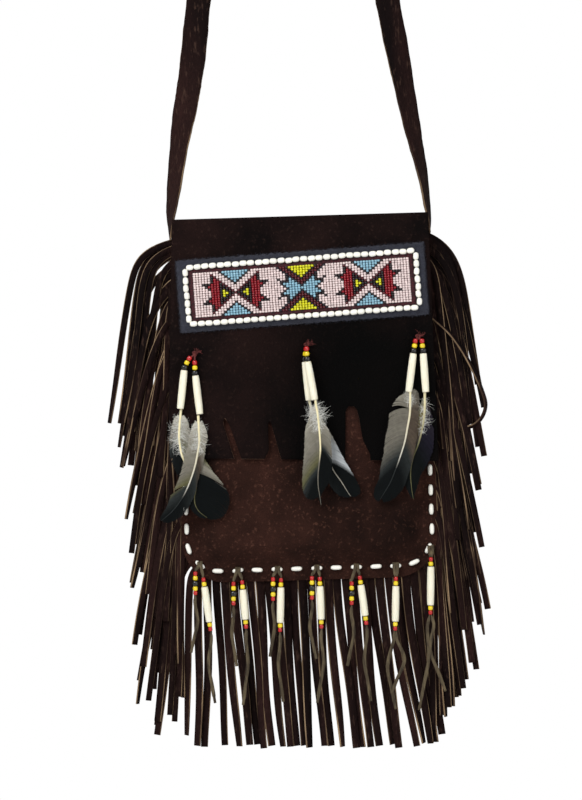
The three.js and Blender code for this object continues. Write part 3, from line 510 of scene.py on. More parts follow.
def swept(paths, across, over, section, widths, depths):
    """Bands along paths: the closed section, in half widths and half depths, is carried along
    each path. Gives points (band, step, corner), the four-sided faces and the end caps."""
    section = np.asarray(section, float)
    points = (
        paths[..., None, :]
        + across[..., None, :] * section[:, 0, None] * widths[..., None, None]
        + over[..., None, :] * section[:, 1, None] * depths[..., None, None]
    )
    bands, steps, corners = points.shape[:3]
    one = grid_faces(steps, corners, wrap=True)
    faces = (one[None] + np.arange(bands)[:, None, None] * steps * corners).reshape(-1, 4)
    first = np.arange(corners)
    caps = [(b * steps * corners + first[::-1]).tolist() for b in range(bands)]
    caps += [((b + 1) * steps * corners - corners + first).tolist() for b in range(bands)]
    return points, faces, caps


# The fringes: strips cut from the same hide and sewn into the seam, brown on their faces and
# paler where the knife cut them. They hang in layers, and their tips are blunt and uneven.
BAND = ((-1, 0.3), (-0.8, -1), (0.98, -1), (1, 1), (-1, 1))
HALF_THICK = 0.62
FRINGE_MIDDLE = 5.7  # the middle of the fringes' layers, from front to back


def fringe_suede():
    """Strip suede: nap colours on the faces, raw hide on the faces marked as cut, and each strip
    a little lighter or darker by its own shade."""
    made, tree, shader, where = material("fringe_suede")
    stretched = add(tree, "VectorMath", {0: where, 1: (1, 1, 0.3)}, operation="MULTIPLY").outputs[0]
    skin = add(tree, "Group", {
        "Vector": stretched, "Dark": rgb(16, 9, 9), "Light": rgb(54, 33, 30), "Speck": rgb(86, 64, 54),
        "Wear": 0.4,
    }, node_tree=nap)
    own = add(tree, "Attribute", attribute_name="shade").outputs["Fac"]
    raw = add(tree, "Attribute", attribute_name="cut").outputs["Fac"]
    face = mixed(tree, ranged(tree, own, 0, 1, 0.0, 0.6), skin.outputs["Color"], rgb(8, 5, 5))
    streak = ranged(tree, noise(tree, stretched, 60, 3), 0.4, 0.66)
    pale = mixed(tree, streak, rgb(56, 42, 34), rgb(150, 126, 98))
    tree.links.new(mixed(tree, raw, face, pale), shader.inputs["Base Color"])
    shader.inputs["Roughness"].default_value = 0.9
    shader.inputs["Specular IOR Level"].default_value = 0.06
    bumped(tree, shader, skin.outputs["Height"], 0.0006)
    return made


strip_finish = fringe_suede()


def curved(points, count):
    """count points on a smooth line through the given ones. Between two of them it is a cubic
    whose slopes are those of the line through each point's neighbours."""
    p = np.asarray(points, float)
    t = np.concatenate([[0], np.cumsum(np.linalg.norm(np.diff(p, axis=0), axis=1) ** 0.5)])
    slope = np.gradient(p, t, axis=0)
    at = np.linspace(0, t[-1], count)
    i = np.clip(np.searchsorted(t, at, side="right") - 1, 0, len(t) - 2)
    h, u = (t[i + 1] - t[i])[:, None], ((at - t[i]) / (t[i + 1] - t[i]))[:, None]
    return (
        (2 * u**3 - 3 * u**2 + 1) * p[i] + (u**3 - 2 * u**2 + u) * h * slope[i]
        + (3 * u**2 - 2 * u**3) * p[i + 1] + (u**3 - u**2) * h * slope[i + 1]
    )


def strips(name, paths, widths, twists, tones, replaced):
    """A fringe: bands of 1.2 mm suede along the given paths, in one object. Half
    of them are turned over, so that the slanted cut shows on either side."""
    across, over = frames(paths, twists)
    flip = np.where(chance.random(len(paths)) < 0.5, -1.0, 1.0)[:, None]
    depths = np.full(widths.shape, HALF_THICK)
    points, faces, caps = swept(paths, across, over, BAND, widths * flip, depths)
    side = np.arange(len(faces)) % len(BAND)
    cut = np.concatenate([np.isin(side, (0, 2, 4)), np.ones(len(caps))]).astype(float)
    per_band = len(faces) // len(paths)
    tone = np.concatenate([np.repeat(tones, per_band), np.tile(tones, 2)])
    values = {"cut": cut, "shade": tone}
    made = piece(name, hung(points), list(faces) + caps, strip_finish, values, outward=True)
    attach(made, "bag")
    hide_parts(replaced)


# The bottom strips' tips, as places across: they hang in clusters with gaps between them.
BOTTOM_TIPS = (
    -110.4, -102.9, -83.9, -71.3, -61.1, -53.7, -47.2, -40.7, -29.5, -23.5, -17.4, -11.4, -5.3, 7.7,
    14.2, 24.4, 37.9, 44.4, 50.9, 59.7, 71.8, 77.9, 93.7, 100.2, 106.2, 111.8, 117.8,
)
s = np.linspace(0, 1, 44)[None]
tip_x = np.array(BOTTOM_TIPS)
count = len(tip_x)
number = np.arange(count)
root_x = np.linspace(-104, 104, count)
shorter = np.interp(number, (21, 25, 26), (0, 5, 12))
tip_drop = 488 + (tip_x + 110) * 0.03 + chance.normal(0, 1.2, count) - shorter
wave = chance.uniform(1.2, 4.0, count)[:, None]
phase = chance.uniform(0, 2 * math.pi, count)[:, None]
swing = wave * np.sin(phase + s * 5.2) * s * (1.3 - s)
px = root_x[:, None] + (tip_x - root_x)[:, None] * s**1.35 + swing
layer = 2.4 * ((number % 3) - 1)[:, None] * np.clip(s * 3.2, 0, 1)
py = FRINGE_MIDDLE + layer + 1.2 * np.sin(phase * 2 + s * 4) * s
corner = np.clip(np.abs(root_x) - (HALF_WIDTH - CORNER), 0, None)
root_drop = BAG_HEIGHT - 12 - (CORNER - np.sqrt(np.clip(CORNER**2 - corner**2, 0, None)))
pz = -(root_drop[:, None] + (tip_drop - root_drop)[:, None] * s)
widths = chance.uniform(3.5, 4.1, count)[:, None] * (1 - 0.12 * s**3 + 0.14 * np.exp(-s * 5))
twists = chance.normal(0, 0.2, count)[:, None] * s
twists = twists + chance.choice([0, 0, 0, 0, 0.8, -0.8], count)[:, None] * s**3
strips(
    "fringe_bottom_strips", np.stack([px, py, pz], axis=-1), widths, twists, chance.random(count),
    "fringe_bottom",
)


def side_strips(side, root, reach, length, early_share, bend, sway):
    """Paths of side strips: from inside the seam outwards by reach and down by length. The early
    share of the reach comes within the first bend, the rest evenly along the length."""
    d = length[:, None] * s**1.4
    early = 1 - np.exp(-d / bend[:, None])
    first = early_share[:, None]
    out = reach[:, None] * (first * early + (1 - first) * d / length[:, None])
    into = np.clip(root - (BAG_HEIGHT - CORNER), 0, CORNER * 0.93)
    edge = HALF_WIDTH - CORNER + np.sqrt(CORNER**2 - into**2)
    phase = chance.uniform(0, 6.3, len(root))[:, None]
    leaving = 8 * (1 - np.exp(-d / 6))
    x = edge[:, None] - 8 + leaving + out + sway[:, None] * np.sin(phase + s * 6) * s
    layer = chance.permutation(np.linspace(-4.4, 4.4, len(root)))[:, None]
    y = FRINGE_MIDDLE + layer * np.clip(s * 6, 0, 1) + 1.2 * np.sin(phase * 3 + s * 5) * s
    return np.stack([side * x, y, -(root[:, None] + d)], axis=-1)


STRIPS_A_SIDE = 68
SIDES = {
    # side: places of the roots below the mouth, how far out the outermost tips hang there,
    # the share of that within the first bend, and the bend's length
    -1: ((17, 51, 99, 170, 207, 250, 286, 309, 322), (67, 56, 55, 50, 52, 47, 50, 36, 26), 0.5, 9),
    1: (
        (15, 48, 109, 165, 200, 229, 262, 290, 312), (45, 47.5, 42, 43, 47.6, 42, 33, 14, 3), 0.68, 20,
    ),
}
for side, (roots, tips, early_share, first_bend) in SIDES.items():
    number = np.arange(STRIPS_A_SIDE)
    count = STRIPS_A_SIDE
    uneven = np.where(number > 2, chance.normal(0, 1.2, count), 0)
    root = 16 + 304 * np.linspace(0, 1, count) ** 1.15 + uneven
    throw = np.array([1.0, 0.3, 0.7, 0.12, 0.86, 0.5])[number % 6]
    throw = np.where(number < 4, 1 - 0.1 * number, throw)
    reach = (np.interp(root, roots, tips) - 3) * throw + chance.normal(0, 1.6, count)
    length = 170 + chance.normal(0, 3.5, count) - 24 * (chance.random(count) < 0.14)
    length = length - 12 * np.clip((root - 280) / 40, 0, 1)
    share = np.interp(root, (16, 90), (early_share, 0.3))
    bend = np.interp(root, (16, 90), (first_bend, 34))
    paths = side_strips(side, root, reach, length, share, bend, chance.uniform(0.4, 2.2, count))
    widths = chance.uniform(3.0, 3.6, count)[:, None] * (1 - 0.12 * s**3)
    twists = chance.normal(0, 0.28, count)[:, None] * s
    twists = twists + chance.choice([0, 0, 0, 0, 1.0, -1.0], count)[:, None] * s**3
    if side > 0:
        # One strip curls out and back.
        loop = curved([
            (113, 5.7, -88), (125, 2, -99), (136, 0, -110), (147, -1, -126), (158, -1, -148),
            (165, -1, -166), (167.5, 0, -178), (164, 2, -189), (157, 3, -196), (152, 4, -198),
            (148, 5, -199),
        ], s.size)[None]
        paths = np.concatenate([paths, loop])
        widths = np.concatenate([widths, np.full((1, s.size), 2.6)])
        twists = np.concatenate([twists, np.full((1, s.size), 1.0)])
    name = "fringe_left" if side < 0 else "fringe_right"
    strips(name + "_strips", paths, widths, twists, chance.random(len(paths)), name)


# The strap: a band of the same suede with raw, slightly ragged edges, sewn on edge-on at both
# sides. Each leg turns to face the viewer on its way up and turns back over the crown.
STRAP_STEPS = 300
STRAP_HALF_WIDTH = 11.6
STRAP_Y = -1.5
# Places in the row frame, read off the picture up to its edge and converted: across,
# height, and a guess of how far the band is turned away from the viewer, in degrees.
LEFT_LEG = [
    (-112.9, -424, 88), (-112.9, -412, 80), (-112.2, -398, 66), (-110.6, -384, 60), (-106.5, -349, 47),
    (-102.6, -321, 32), (-97.2, -290, 12), (-92.2, -256, 3), (-86.6, -200, 0), (-79, -150, 0),
    (-68, -100, 14),
]
RIGHT_LEG = [
    (127.9, -417, 89), (127.6, -405, 82), (125.6, -392, 74), (123.2, -374, 70), (119.6, -354, 62),
    (115.4, -336, 54), (108.4, -302, 42), (99.5, -256, 24), (88.6, -200, 8), (79.5, -150, 2),
    (69, -100, 14),
]
CROWN = [
    (-59, -60, 45), (-42, -20, 78), (-18, -1, 90), (0, 1, 90), (18, -1, 90), (42, -20, 78),
    (59, -60, 45),
]
STRAP_SECTION = np.array([
    (-1, 0), (-0.97, -1), (-0.5, -1), (0, -1), (0.5, -1), (0.97, -1), (1, 0), (0.97, 1), (0, 1),
    (-0.97, 1),
])


def strap():
    """The band's points in metres, its faces and which of them are cut edge: carried along a
    smooth line through the legs and the crown, turned as they say, with a slowly uneven width."""
    route = np.array(LEFT_LEG + CROWN + RIGHT_LEG[::-1], float)
    stops = np.stack([route[:, 0], np.full(len(route), STRAP_Y), route[:, 1]], axis=1)
    line = curved(stops, STRAP_STEPS)
    nearest = np.argmin(np.linalg.norm(line[None] - stops[:, None], axis=2), axis=1)
    twist = np.radians(np.interp(np.arange(STRAP_STEPS), nearest, route[:, 2]))
    t = np.linspace(0, 1, STRAP_STEPS)
    ragged = 0.5 * np.sin(t * 91) + 0.35 * np.sin(t * 237 + 1) + chance.normal(0, 0.18, STRAP_STEPS)
    wide = STRAP_HALF_WIDTH + 0.5 * ragged
    across, over = frames(line[None], twist[None])
    depths = np.full((1, STRAP_STEPS), 0.9)
    points, faces, caps = swept(line[None], across, over, STRAP_SECTION, wide[None], depths)
    side = np.arange(len(faces)) % len(STRAP_SECTION)
    cut = np.concatenate([np.isin(side, (0, 9, 5, 6)), np.ones(2)]).astype(float)
    return points / 1000, list(faces) + caps, cut


points, faces, cut = strap()
strap_band = piece(
    "shoulder_strap_band", points, faces, strip_finish,
    {"cut": cut * 0.8, "shade": np.full(len(cut), 0.25)}, outward=True,
)
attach(strap_band, "bag")
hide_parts("shoulder_strap")


# The felt: a grey-blue patch sewn to the flap a little askew, with a fuzzy, uneven border. All
# the beadwork sits on it.
SKEW = math.radians(2.6)
BEADWORK_DROP = 64.4
FELT_HALF_WIDTH, FELT_HALF_HEIGHT = 114.8, 33.4
FELT_FRONT = -17.2


def sewn(points):
    """Points of the beadwork's own frame, from its middle, in the bag's frame: turned 2.6
    degrees more, and moved down onto the flap."""
    p = np.asarray(points, float)
    x = p[..., 0] * math.cos(SKEW) - p[..., 2] * math.sin(SKEW)
    z = p[..., 0] * math.sin(SKEW) + p[..., 2] * math.cos(SKEW) - BEADWORK_DROP
    return np.stack([x, p[..., 1], z], axis=-1)


felt, tree, shader, where = material("felt")
mottle = ranged(tree, noise(tree, where, 260, 4, 0.7), 0.35, 0.65)
hairs = ranged(tree, noise(tree, where, 1700, 3, 0.7), 0.45, 0.75)
shown = mixed(tree, hairs, mixed(tree, mottle, rgb(20, 21, 30), rgb(36, 38, 50)), rgb(76, 78, 92))
tree.links.new(shown, shader.inputs["Base Color"])
shader.inputs["Roughness"].default_value = 1.0
shader.inputs["Sheen Weight"].default_value = 0.06
bumped(tree, shader, noise(tree, where, 1700, 3, 0.7), 0.0009)
columns, rows = 150, 46
u, v = np.linspace(-1, 1, columns), np.linspace(-1, 1, rows)
x, z = np.meshgrid(u * FELT_HALF_WIDTH, v * FELT_HALF_HEIGHT)
rough_edge = 0.55 * np.sin(x * 0.9) * np.sin(z * 1.3 + 2) + chance.normal(0, 0.28, x.shape)
x = x + rough_edge * (np.abs(u)[None] > 0.98)
z = z + rough_edge * (np.abs(v)[:, None] > 0.95)
rim = np.maximum(np.abs(u)[None] ** 60, np.abs(v)[:, None] ** 24)
y = FELT_FRONT + 0.8 * rim + 0.12 * chance.normal(0, 1, x.shape)
points = hung(sewn(np.stack([x, y, z], axis=-1)))
felt_patch = piece("felt_patch", points, grid_faces(rows, columns), felt)
thickened(felt_patch, 1.4, rim=False, offset=-1)
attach(felt_patch, "flap")
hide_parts("felt_backing")

# Wool hairs that stand out of the felt's border and face: thin bent blades of two faces each.
hairs_count = 5200
chance.random(hairs_count)  # not used, drawn so that all later shapes stay as they were judged
on_rim = np.arange(hairs_count) < 2900
side_pick = chance.integers(0, 4, hairs_count)  # below, above, left or right
beside = np.where(side_pick == 2, -114.0, 114.0)
level = np.where(side_pick == 0, -33.0, 33.0)
hx = np.where(side_pick < 2, chance.uniform(-114, 114, hairs_count), beside)
hz = np.where(side_pick < 2, level, chance.uniform(-33, 33, hairs_count))
hx = np.where(on_rim, hx, chance.uniform(-114, 114, hairs_count))
inner_band = np.where(chance.random(hairs_count) < 0.5, -1, 1) * chance.uniform(29, 33, hairs_count)
hz = np.where(on_rim, hz, inner_band)
outward_angle = np.array([-math.pi / 2, math.pi / 2, math.pi, 0])[side_pick]
spread_angle = outward_angle + chance.normal(0, 0.8, hairs_count)
angle = np.where(on_rim, spread_angle, chance.uniform(0, 2 * math.pi, hairs_count))
size = chance.uniform(1.0, 3.0, hairs_count) * np.where(on_rim, 1, 0.7)
t = np.array([0, 0.5, 1.0])
bow = chance.normal(0, 0.5, hairs_count)
ha = angle[:, None] + bow[:, None] * t
path_x = hx[:, None] + size[:, None] * t * np.cos(ha)
path_z = hz[:, None] + size[:, None] * t * np.sin(ha)
path_y = np.where(on_rim, -16.6, -17.3)[:, None] - t * chance.uniform(0.1, 0.7, hairs_count)[:, None]
half = 0.07 * (1 - t * 0.8)
left = np.stack([path_x - half * np.sin(ha), path_y, path_z + half * np.cos(ha)], axis=-1)
right = np.stack([path_x + half * np.sin(ha), path_y, path_z - half * np.cos(ha)], axis=-1)
points = np.stack([left, right], axis=2)
one = grid_faces(3, 2)
faces = (one[None] + np.arange(hairs_count)[:, None, None] * 6).reshape(-1, 4)
felt_hairs = piece("felt_hairs", hung(sewn(points)), faces, felt)
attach(felt_hairs, "flap")


# The loom strip: 19 rows of 75 glass seed beads, woven on thread. Three medallions in the old
# geometric manner stand on a white ground: two alike at the sides and another in the middle.
CYAN, WHITE, YELLOW = rgb(134, 176, 194), rgb(222, 204, 202), rgb(206, 204, 26)
CRIMSON, MAROON, DARK, NAVY = rgb(134, 8, 26), rgb(78, 12, 22), rgb(18, 6, 10), rgb(10, 12, 26)


def medallions():
    """The colour of every bead. r is its distance from the middle row and k from the middle
    column of its medallion, both in beads; d = r - k tells on which side of the diagonal it is."""
    column, row = np.meshgrid(np.arange(-37, 38), np.arange(-9, 10))
    nearest = np.stack([np.abs(column - c) for c in (-23, 0, 23)])
    k, r = nearest.min(axis=0), np.abs(row)
    d, middle = r - k, np.argmin(nearest, axis=0) == 1
    colour = np.empty((*column.shape, 4))
    colour[:] = WHITE
    outer = (
        (d >= 5, CYAN), (d == 4, DARK), ((d == 0) & (k <= 8), MAROON),
        ((d < 0) & (k <= 5), DARK), ((d < 0) & (k == 3) & (r == 0), YELLOW),
        ((d < 0) & (k == 4) & (r <= 1), YELLOW),
        ((d < 0) & (k >= 6) & (k <= 7), CRIMSON), ((d < 0) & (k == 8) & (r <= 4), CRIMSON),
        ((d < 0) & (k == 8) & (r >= 5), DARK), ((k == 9) & (r == 2), DARK),
        ((k == 9) & (r == 3), CRIMSON), ((k == 9) & (r == 4), DARK),
        ((k == 10) & ((r == 3) | (r == 4)), DARK), ((k == 11) & (r == 4), DARK),
    )
    for chosen, shade in outer:
        colour[chosen & ~middle] = shade
    inner = (
        (d >= 5, YELLOW), (d == 4, DARK), ((d == 2) | (d == 3), MAROON), (d == 1, NAVY),
        ((d <= 0) & (k <= 4), CYAN), ((k == 5) & (d <= 0), DARK),
        ((k == 5) & ((r == 1) | (r == 2)), CYAN),
        ((k == 6) & ((r == 1) | (r == 3)), DARK), ((k == 6) & (r == 2), CYAN),
        ((k == 7) & ((r == 2) | (r == 3)), DARK), ((k == 8) & (r == 4), DARK),
    )
    for chosen, shade in inner:
        colour[chosen & middle] = shade
    return column.ravel(), row.ravel(), colour.reshape(-1, 4)


column, row, colour = medallions()
many = len(column)
LOOM_BEAD_WIDTH, LOOM_BEAD_HEIGHT, LOOM_Y = 2.67, 2.17, -18.5
centres = np.stack([
    column * LOOM_BEAD_WIDTH, np.full(many, LOOM_Y), row * LOOM_BEAD_HEIGHT,
], axis=1)
centres += chance.normal(0, 1, (many, 3)) * [0.06, 0.1, 0.05]
axes = np.array([[0, 0, 1.0]]) + chance.normal(0, 0.05, (many, 3))
seed = np.array([(0.5, -0.85), (1.0, -1.0), (1.27, -0.5), (1.27, 0.5), (1.0, 1.0), (0.5, 0.85)])
points, faces = beads_at(seed, centres, axes, 8)
shade = 1 + chance.normal(0, 0.07, (many, 1))
tints = np.concatenate([np.clip(colour[:, :3] * shade, 0, 1), np.ones((many, 1))], axis=1)
seed_glass = glass("seed_glass", 0.22)
loom = piece(
    "loom_seed_beads", hung(sewn(points)), faces, seed_glass,
    {"bead": np.repeat(tints, len(faces) // many, axis=0)}, outward=True,
)
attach(loom, "flap")
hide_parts("loom_beadwork")

# The dark band that shows round the strip: the reddish selvage threads on a dark cloth edge.
selvage, tree, shader, where = material("selvage")
thread = ranged(tree, noise(tree, where, 800, 3, 0.7), 0.4, 0.66)
tree.links.new(mixed(tree, thread, rgb(22, 9, 16), rgb(78, 18, 28)), shader.inputs["Base Color"])
shader.inputs["Roughness"].default_value = 0.9
bumped(tree, shader, noise(tree, where, 1100, 2), 0.0004)
u = np.linspace(-1, 1, 60)
x, z = np.meshgrid(u * 104.2, np.linspace(-1, 1, 16) * 24.4)
band = piece(
    "selvage_cloth", hung(sewn(np.stack([x, np.full(x.shape, -17.45) + 0.1 * np.sin(x), z], axis=-1))),
    grid_faces(*x.shape), selvage,
)
thickened(band, 0.5, rim=False, offset=1)
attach(band, "flap")

# The frame of ivory rice beads, sewn end to end round the strip.
along_x, along_z, pitch = 105.7, 26.2, 7.05
beads_long, beads_short = 30, 7
top = (np.arange(beads_long) - (beads_long - 1) / 2) * pitch
end = (np.arange(beads_short) - (beads_short - 1) / 2) * pitch
places = np.concatenate([
    np.stack([top, np.full(beads_long, along_z)], axis=1),
    np.stack([top, np.full(beads_long, -along_z)], axis=1),
    np.stack([np.full(beads_short, -along_x - 1), end], axis=1),
    np.stack([np.full(beads_short, along_x + 1), end], axis=1),
])
places += chance.normal(0, 0.16, places.shape)
many = len(places)
axes = np.zeros((many, 3))
axes[:2 * beads_long, 0] = 1
axes[2 * beads_long:, 2] = 1
axes += chance.normal(0, 0.06, axes.shape)
centres = np.stack([places[:, 0], np.full(many, -19.5), places[:, 1]], axis=1)
points, faces = beads_at(grain_profile(2.55, 3.5, 0.7), centres, axes, 14)
shade = 0.84 + chance.random((many, 1)) * 0.12
tints = np.concatenate([shade * [1.0, 0.985, 0.9], np.ones((many, 1))], axis=1)
rice_frame = piece(
    "frame_rice_beads", hung(sewn(points)), faces, rice_glass,
    {"bead": np.repeat(tints, len(faces) // many, axis=0)}, outward=True,
)
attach(rice_frame, "flap")
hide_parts("bead_frame")


# The feather drops: three knots hold the ends of short laces that come through the flap. On each
# lace are a red, a yellow and a black glass bead and a bone pipe, with a quill pushed into it.
def plumb(origin, points):
    """Points in the row frame: from an origin there, and hanging plumb whatever the bag's tilt."""
    return np.asarray(origin) + np.asarray(points, float) / 1000


RED, AMBER, BLACK = rgb(178, 20, 20), rgb(232, 206, 30), rgb(3, 2, 4)
pony_glass = glass("pony_glass", 0.16, 0.3)
BEAD_TONES = {"red": RED, "yellow": AMBER, "black": BLACK}


def bone():
    """Polished bone: ivory, with long faint grain, small dark pores and soiled ends."""
    made, tree, shader, where = material("bone")
    long = add(tree, "VectorMath", {0: where, 1: (1, 1, 0.06)}, operation="MULTIPLY").outputs[0]
    lines = ranged(tree, noise(tree, long, 1400, 3, 0.6), 0.4, 0.72, 0.0, 0.5)
    pores = ranged(tree, noise(tree, where, 1100, 2, 0.5), 0.66, 0.74, 0.0, 0.4)
    soil = add(tree, "Attribute", attribute_name="soil").outputs["Fac"]
    shown = mixed(tree, lines, rgb(240, 236, 216), rgb(208, 196, 160))
    shown = mixed(tree, soil, mixed(tree, pores, shown, rgb(150, 128, 96)), rgb(120, 96, 70))
    tree.links.new(shown, shader.inputs["Base Color"])
    shader.inputs["Roughness"].default_value = 0.38
    shader.inputs["Subsurface Weight"].default_value = 0.15
    shader.inputs["Subsurface Radius"].default_value = (0.002, 0.0015, 0.001)
    bumped(tree, shader, lines, 0.00015)
    return made


bone_finish = bone()


def hairpipe(name, middle, axis, length, body, replaced):
    """A turned bone pipe: slim barrel outside, rounded lips, and a bore a little wider at its ends."""
    t = np.array([-1, -0.985, -0.95, -0.8, -0.5, 0, 0.5, 0.8, 0.95, 0.985, 1])
    outside = np.array([2.7, 3.0, 3.12, 3.25, 3.4, 3.45, 3.4, 3.25, 3.12, 3.0, 2.7])
    profile = np.stack([outside, t * length / 2], axis=1)
    bore = [[1.9, length / 2 - 0.2], [1.8, 0], [1.9, 0.2 - length / 2]]
    points, faces = beads_at(np.concatenate([profile, bore]), middle, axis, 20)
    ring = np.arange(len(faces)) // 20
    soil = np.where((ring < 2) | ((ring > 7) & (ring < 10)), 0.16, np.where(ring >= 10, 0.85, 0.0))
    made = piece(name, points / 1000, faces, bone_finish, {"soil": soil}, outward=True)
    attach(made, body)
    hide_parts(replaced)
    return made


def strung(name, centres, axes, colours, sizes, body, replaced):
    """Pony beads of glass at these centres, each with its own axis and colour, and with the
    radius and half length that its colour has."""
    profiles = np.array([grain_profile(*sizes[colour], 1.0) for colour in colours])
    points, faces = beads_at(profiles, centres, axes, 18)
    tone = np.array([BEAD_TONES[colour] for colour in colours])
    tone[:, :3] *= 1 + chance.normal(0, 0.04, (len(tone), 1))
    made = piece(
        name, points / 1000, faces, pony_glass,
        {"bead": np.repeat(np.clip(tone, 0, 1), len(faces) // len(tone), axis=0)}, outward=True,
    )
    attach(made, body)
    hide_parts(replaced)
    return made


def lace_finish(name, dark, light):
    """Cut lace: smooth leather in darker and lighter streaks along its length."""
    made, tree, shader, where = material(name)
    long = add(tree, "VectorMath", {0: where, 1: (1, 1, 0.2)}, operation="MULTIPLY").outputs[0]
    shade = ranged(tree, noise(tree, long, 420, 3, 0.6), 0.34, 0.68)
    tree.links.new(mixed(tree, shade, dark, light), shader.inputs["Base Color"])
    shader.inputs["Roughness"].default_value = 0.8
    shader.inputs["Specular IOR Level"].default_value = 0.25
    bumped(tree, shader, noise(tree, where, 1500, 2), 0.0003)
    return made


olive_lace = lace_finish("olive_lace", rgb(48, 40, 30), rgb(98, 86, 64))
red_lace = lace_finish("red_lace", rgb(58, 20, 20), rgb(112, 54, 50))
ROUND = [(math.cos(a), math.sin(a)) for a in np.linspace(0, 2 * math.pi, 9)[:-1]]


def rod(name, line, radii, finish, section=ROUND, flatness=1.0):
    """A closed rod along one line of points in metres, with its own radius in mm at each."""
    line = np.asarray(line, float)
    radii = np.broadcast_to(np.asarray(radii, float), len(line)) / 1000
    across, over = frames(line[None])
    points, faces, caps = swept(line[None], across, over, section, radii[None], radii[None] * flatness)
    return piece(name, points, list(faces) + caps, finish, outward=True)


# The feathers' colour comes from each barb's own tone.
plume, tree, shader, where = material("plume")
own = add(tree, "Attribute", attribute_name="tone").outputs["Color"]
mottle = ranged(tree, noise(tree, where, 240, 3, 0.6), 0.3, 0.7, 0.0, 0.3)
tree.links.new(mixed(tree, mottle, own, rgb(70, 66, 58), "SOFT_LIGHT"), shader.inputs["Base Color"])
shader.inputs["Roughness"].default_value = 0.8
shader.inputs["Specular IOR Level"].default_value = 0.1
shader.inputs["Sheen Weight"].default_value = 0.02
bumped(tree, shader, noise(tree, where, 1600, 2), 0.0002)


def along_line(line, at):
    """Points at shares from 0 to 1 along a line of points, straight between them."""
    far = np.concatenate([[0], np.cumsum(np.linalg.norm(np.diff(line, axis=0), axis=1))])
    share = far / far[-1]
    return np.stack([np.interp(at, share, line[:, k]) for k in range(line.shape[1])], axis=-1)


def blades(paths, half_widths, tilt, tones):
    """Flat blades along paths in X, Y and Z: each widened across its own direction as the viewer
    sees it, with one edge tilted forward, and with a tone for every face."""
    along = np.gradient(paths, axis=1)
    along /= np.linalg.norm(along, axis=-1, keepdims=True)
    side = np.stack([along[..., 2], np.full(along.shape[:2], tilt), -along[..., 0]], axis=-1)
    reach = side * half_widths[..., None]
    points = np.stack([paths - reach, paths + reach], axis=2)
    count, steps = paths.shape[:2]
    one = grid_faces(steps, 2)
    faces = (one[None] + np.arange(count)[:, None, None] * steps * 2).reshape(-1, 4)
    return points.reshape(-1, 3), faces, tones[:, :-1].reshape(-1, 4)


def vane(shaft, edge, depth, tone_at, lead, split, barbs):
    """One side of a feather. Every barb leaves the shaft at an angle, bows outwards and ends on
    the vane's edge further on. A split is a place on the edge and a width where no barb ends."""
    root = np.linspace(0.02, 0.985, barbs)
    reach = np.clip(root + lead * 4 * root * (1 - root), 0, 1)
    for at, width in split:
        reach = np.where(reach > at, at + width + (reach - at) * (1 - at - width) / (1 - at), reach)
    s = np.linspace(0, 1, 9)[None, :, None]
    start, end = along_line(shaft, root)[:, None], along_line(edge, reach)[:, None]
    end = end + chance.normal(0, 0.22, end.shape)
    ahead = (along_line(shaft, np.clip(root + 0.04, 0, 1)) - along_line(shaft, root))[:, None]
    ahead = ahead / np.maximum(np.linalg.norm(ahead, axis=-1, keepdims=True), 1e-6)
    wide = np.linalg.norm(end - start, axis=-1, keepdims=True)
    flat = start + (end - start) * s - ahead * wide * 0.13 * 4 * s * (1 - s)
    cupped = 0.9 * s[..., 0] ** 2 * np.clip(wide[..., 0] / 8, 0, 1)
    y = depth + cupped + 0.25 * np.sin(root * 23)[:, None] * s[..., 0]
    paths = np.stack([flat[..., 0], y, flat[..., 1]], axis=-1)
    half = 0.55 * (1 - 0.55 * s[..., 0]) + np.zeros(paths.shape[:2])
    all_steps = np.zeros(paths.shape[:2])
    tones = tone_at(reach[:, None] + all_steps, s[..., 0] + all_steps)
    bars = 0.05 * np.sin(root * 160)[:, None, None]
    tones[..., :3] *= 1 + chance.normal(0, 0.07, (barbs, 1, 1)) + bars
    return blades(paths, half, 0.25, np.clip(tones, 0, 1))


def down(shaft, upto, depth, count, spread, tone):
    """Loose down on the shaft's upper part: thin curly hairs that leave it sideways."""
    at = chance.uniform(0.01, upto, count)
    start = along_line(shaft, at)
    side = chance.choice((-1, 1), count)
    size = spread * chance.uniform(0.35, 1.0, count) * (0.5 + 0.5 * np.sin(at / upto * math.pi))
    s = np.linspace(0, 1, 7)[None]
    angle = chance.normal(-0.25, 0.55, count)[:, None] + chance.normal(0, 0.9, count)[:, None] * s
    x = start[:, :1] + side[:, None] * size[:, None] * s * np.cos(angle)
    z = start[:, 1:] + size[:, None] * s * np.sin(angle)
    y = depth - chance.uniform(-0.6, 2.4, count)[:, None] * s
    tones = np.tile(tone, (count, 7, 1))
    tones[..., :3] *= chance.uniform(0.6, 1.1, (count, 1, 1))
    half = 0.13 * (1 - 0.75 * s) + np.zeros((count, 7))
    return blades(np.stack([x, y, z], axis=-1), half, 0.3, np.clip(tones, 0, 1))


def graded(*stops):
    """A rule for tones: colours at shares along the vane, mixed between them. On the vane's outer
    part each change lies a little further down."""
    places = np.array([stop[0] for stop in stops])
    shades = np.array([stop[1][:3] for stop in stops])

    def tone_at(reach, s):
        moved = reach - 0.06 * (s - 0.5)
        red, green, blue = (np.interp(moved, places, shades[:, k]) for k in range(3))
        return np.stack([red, green, blue, np.ones_like(red)], axis=-1)

    return tone_at


PALE, GREY, STONE, OLIVE = rgb(196, 192, 180), rgb(146, 142, 130), rgb(112, 108, 98), rgb(92, 90, 62)
SLATE, INK, UMBER, CREAM = rgb(40, 44, 44), rgb(5, 9, 10), rgb(80, 70, 60), rgb(236, 226, 186)

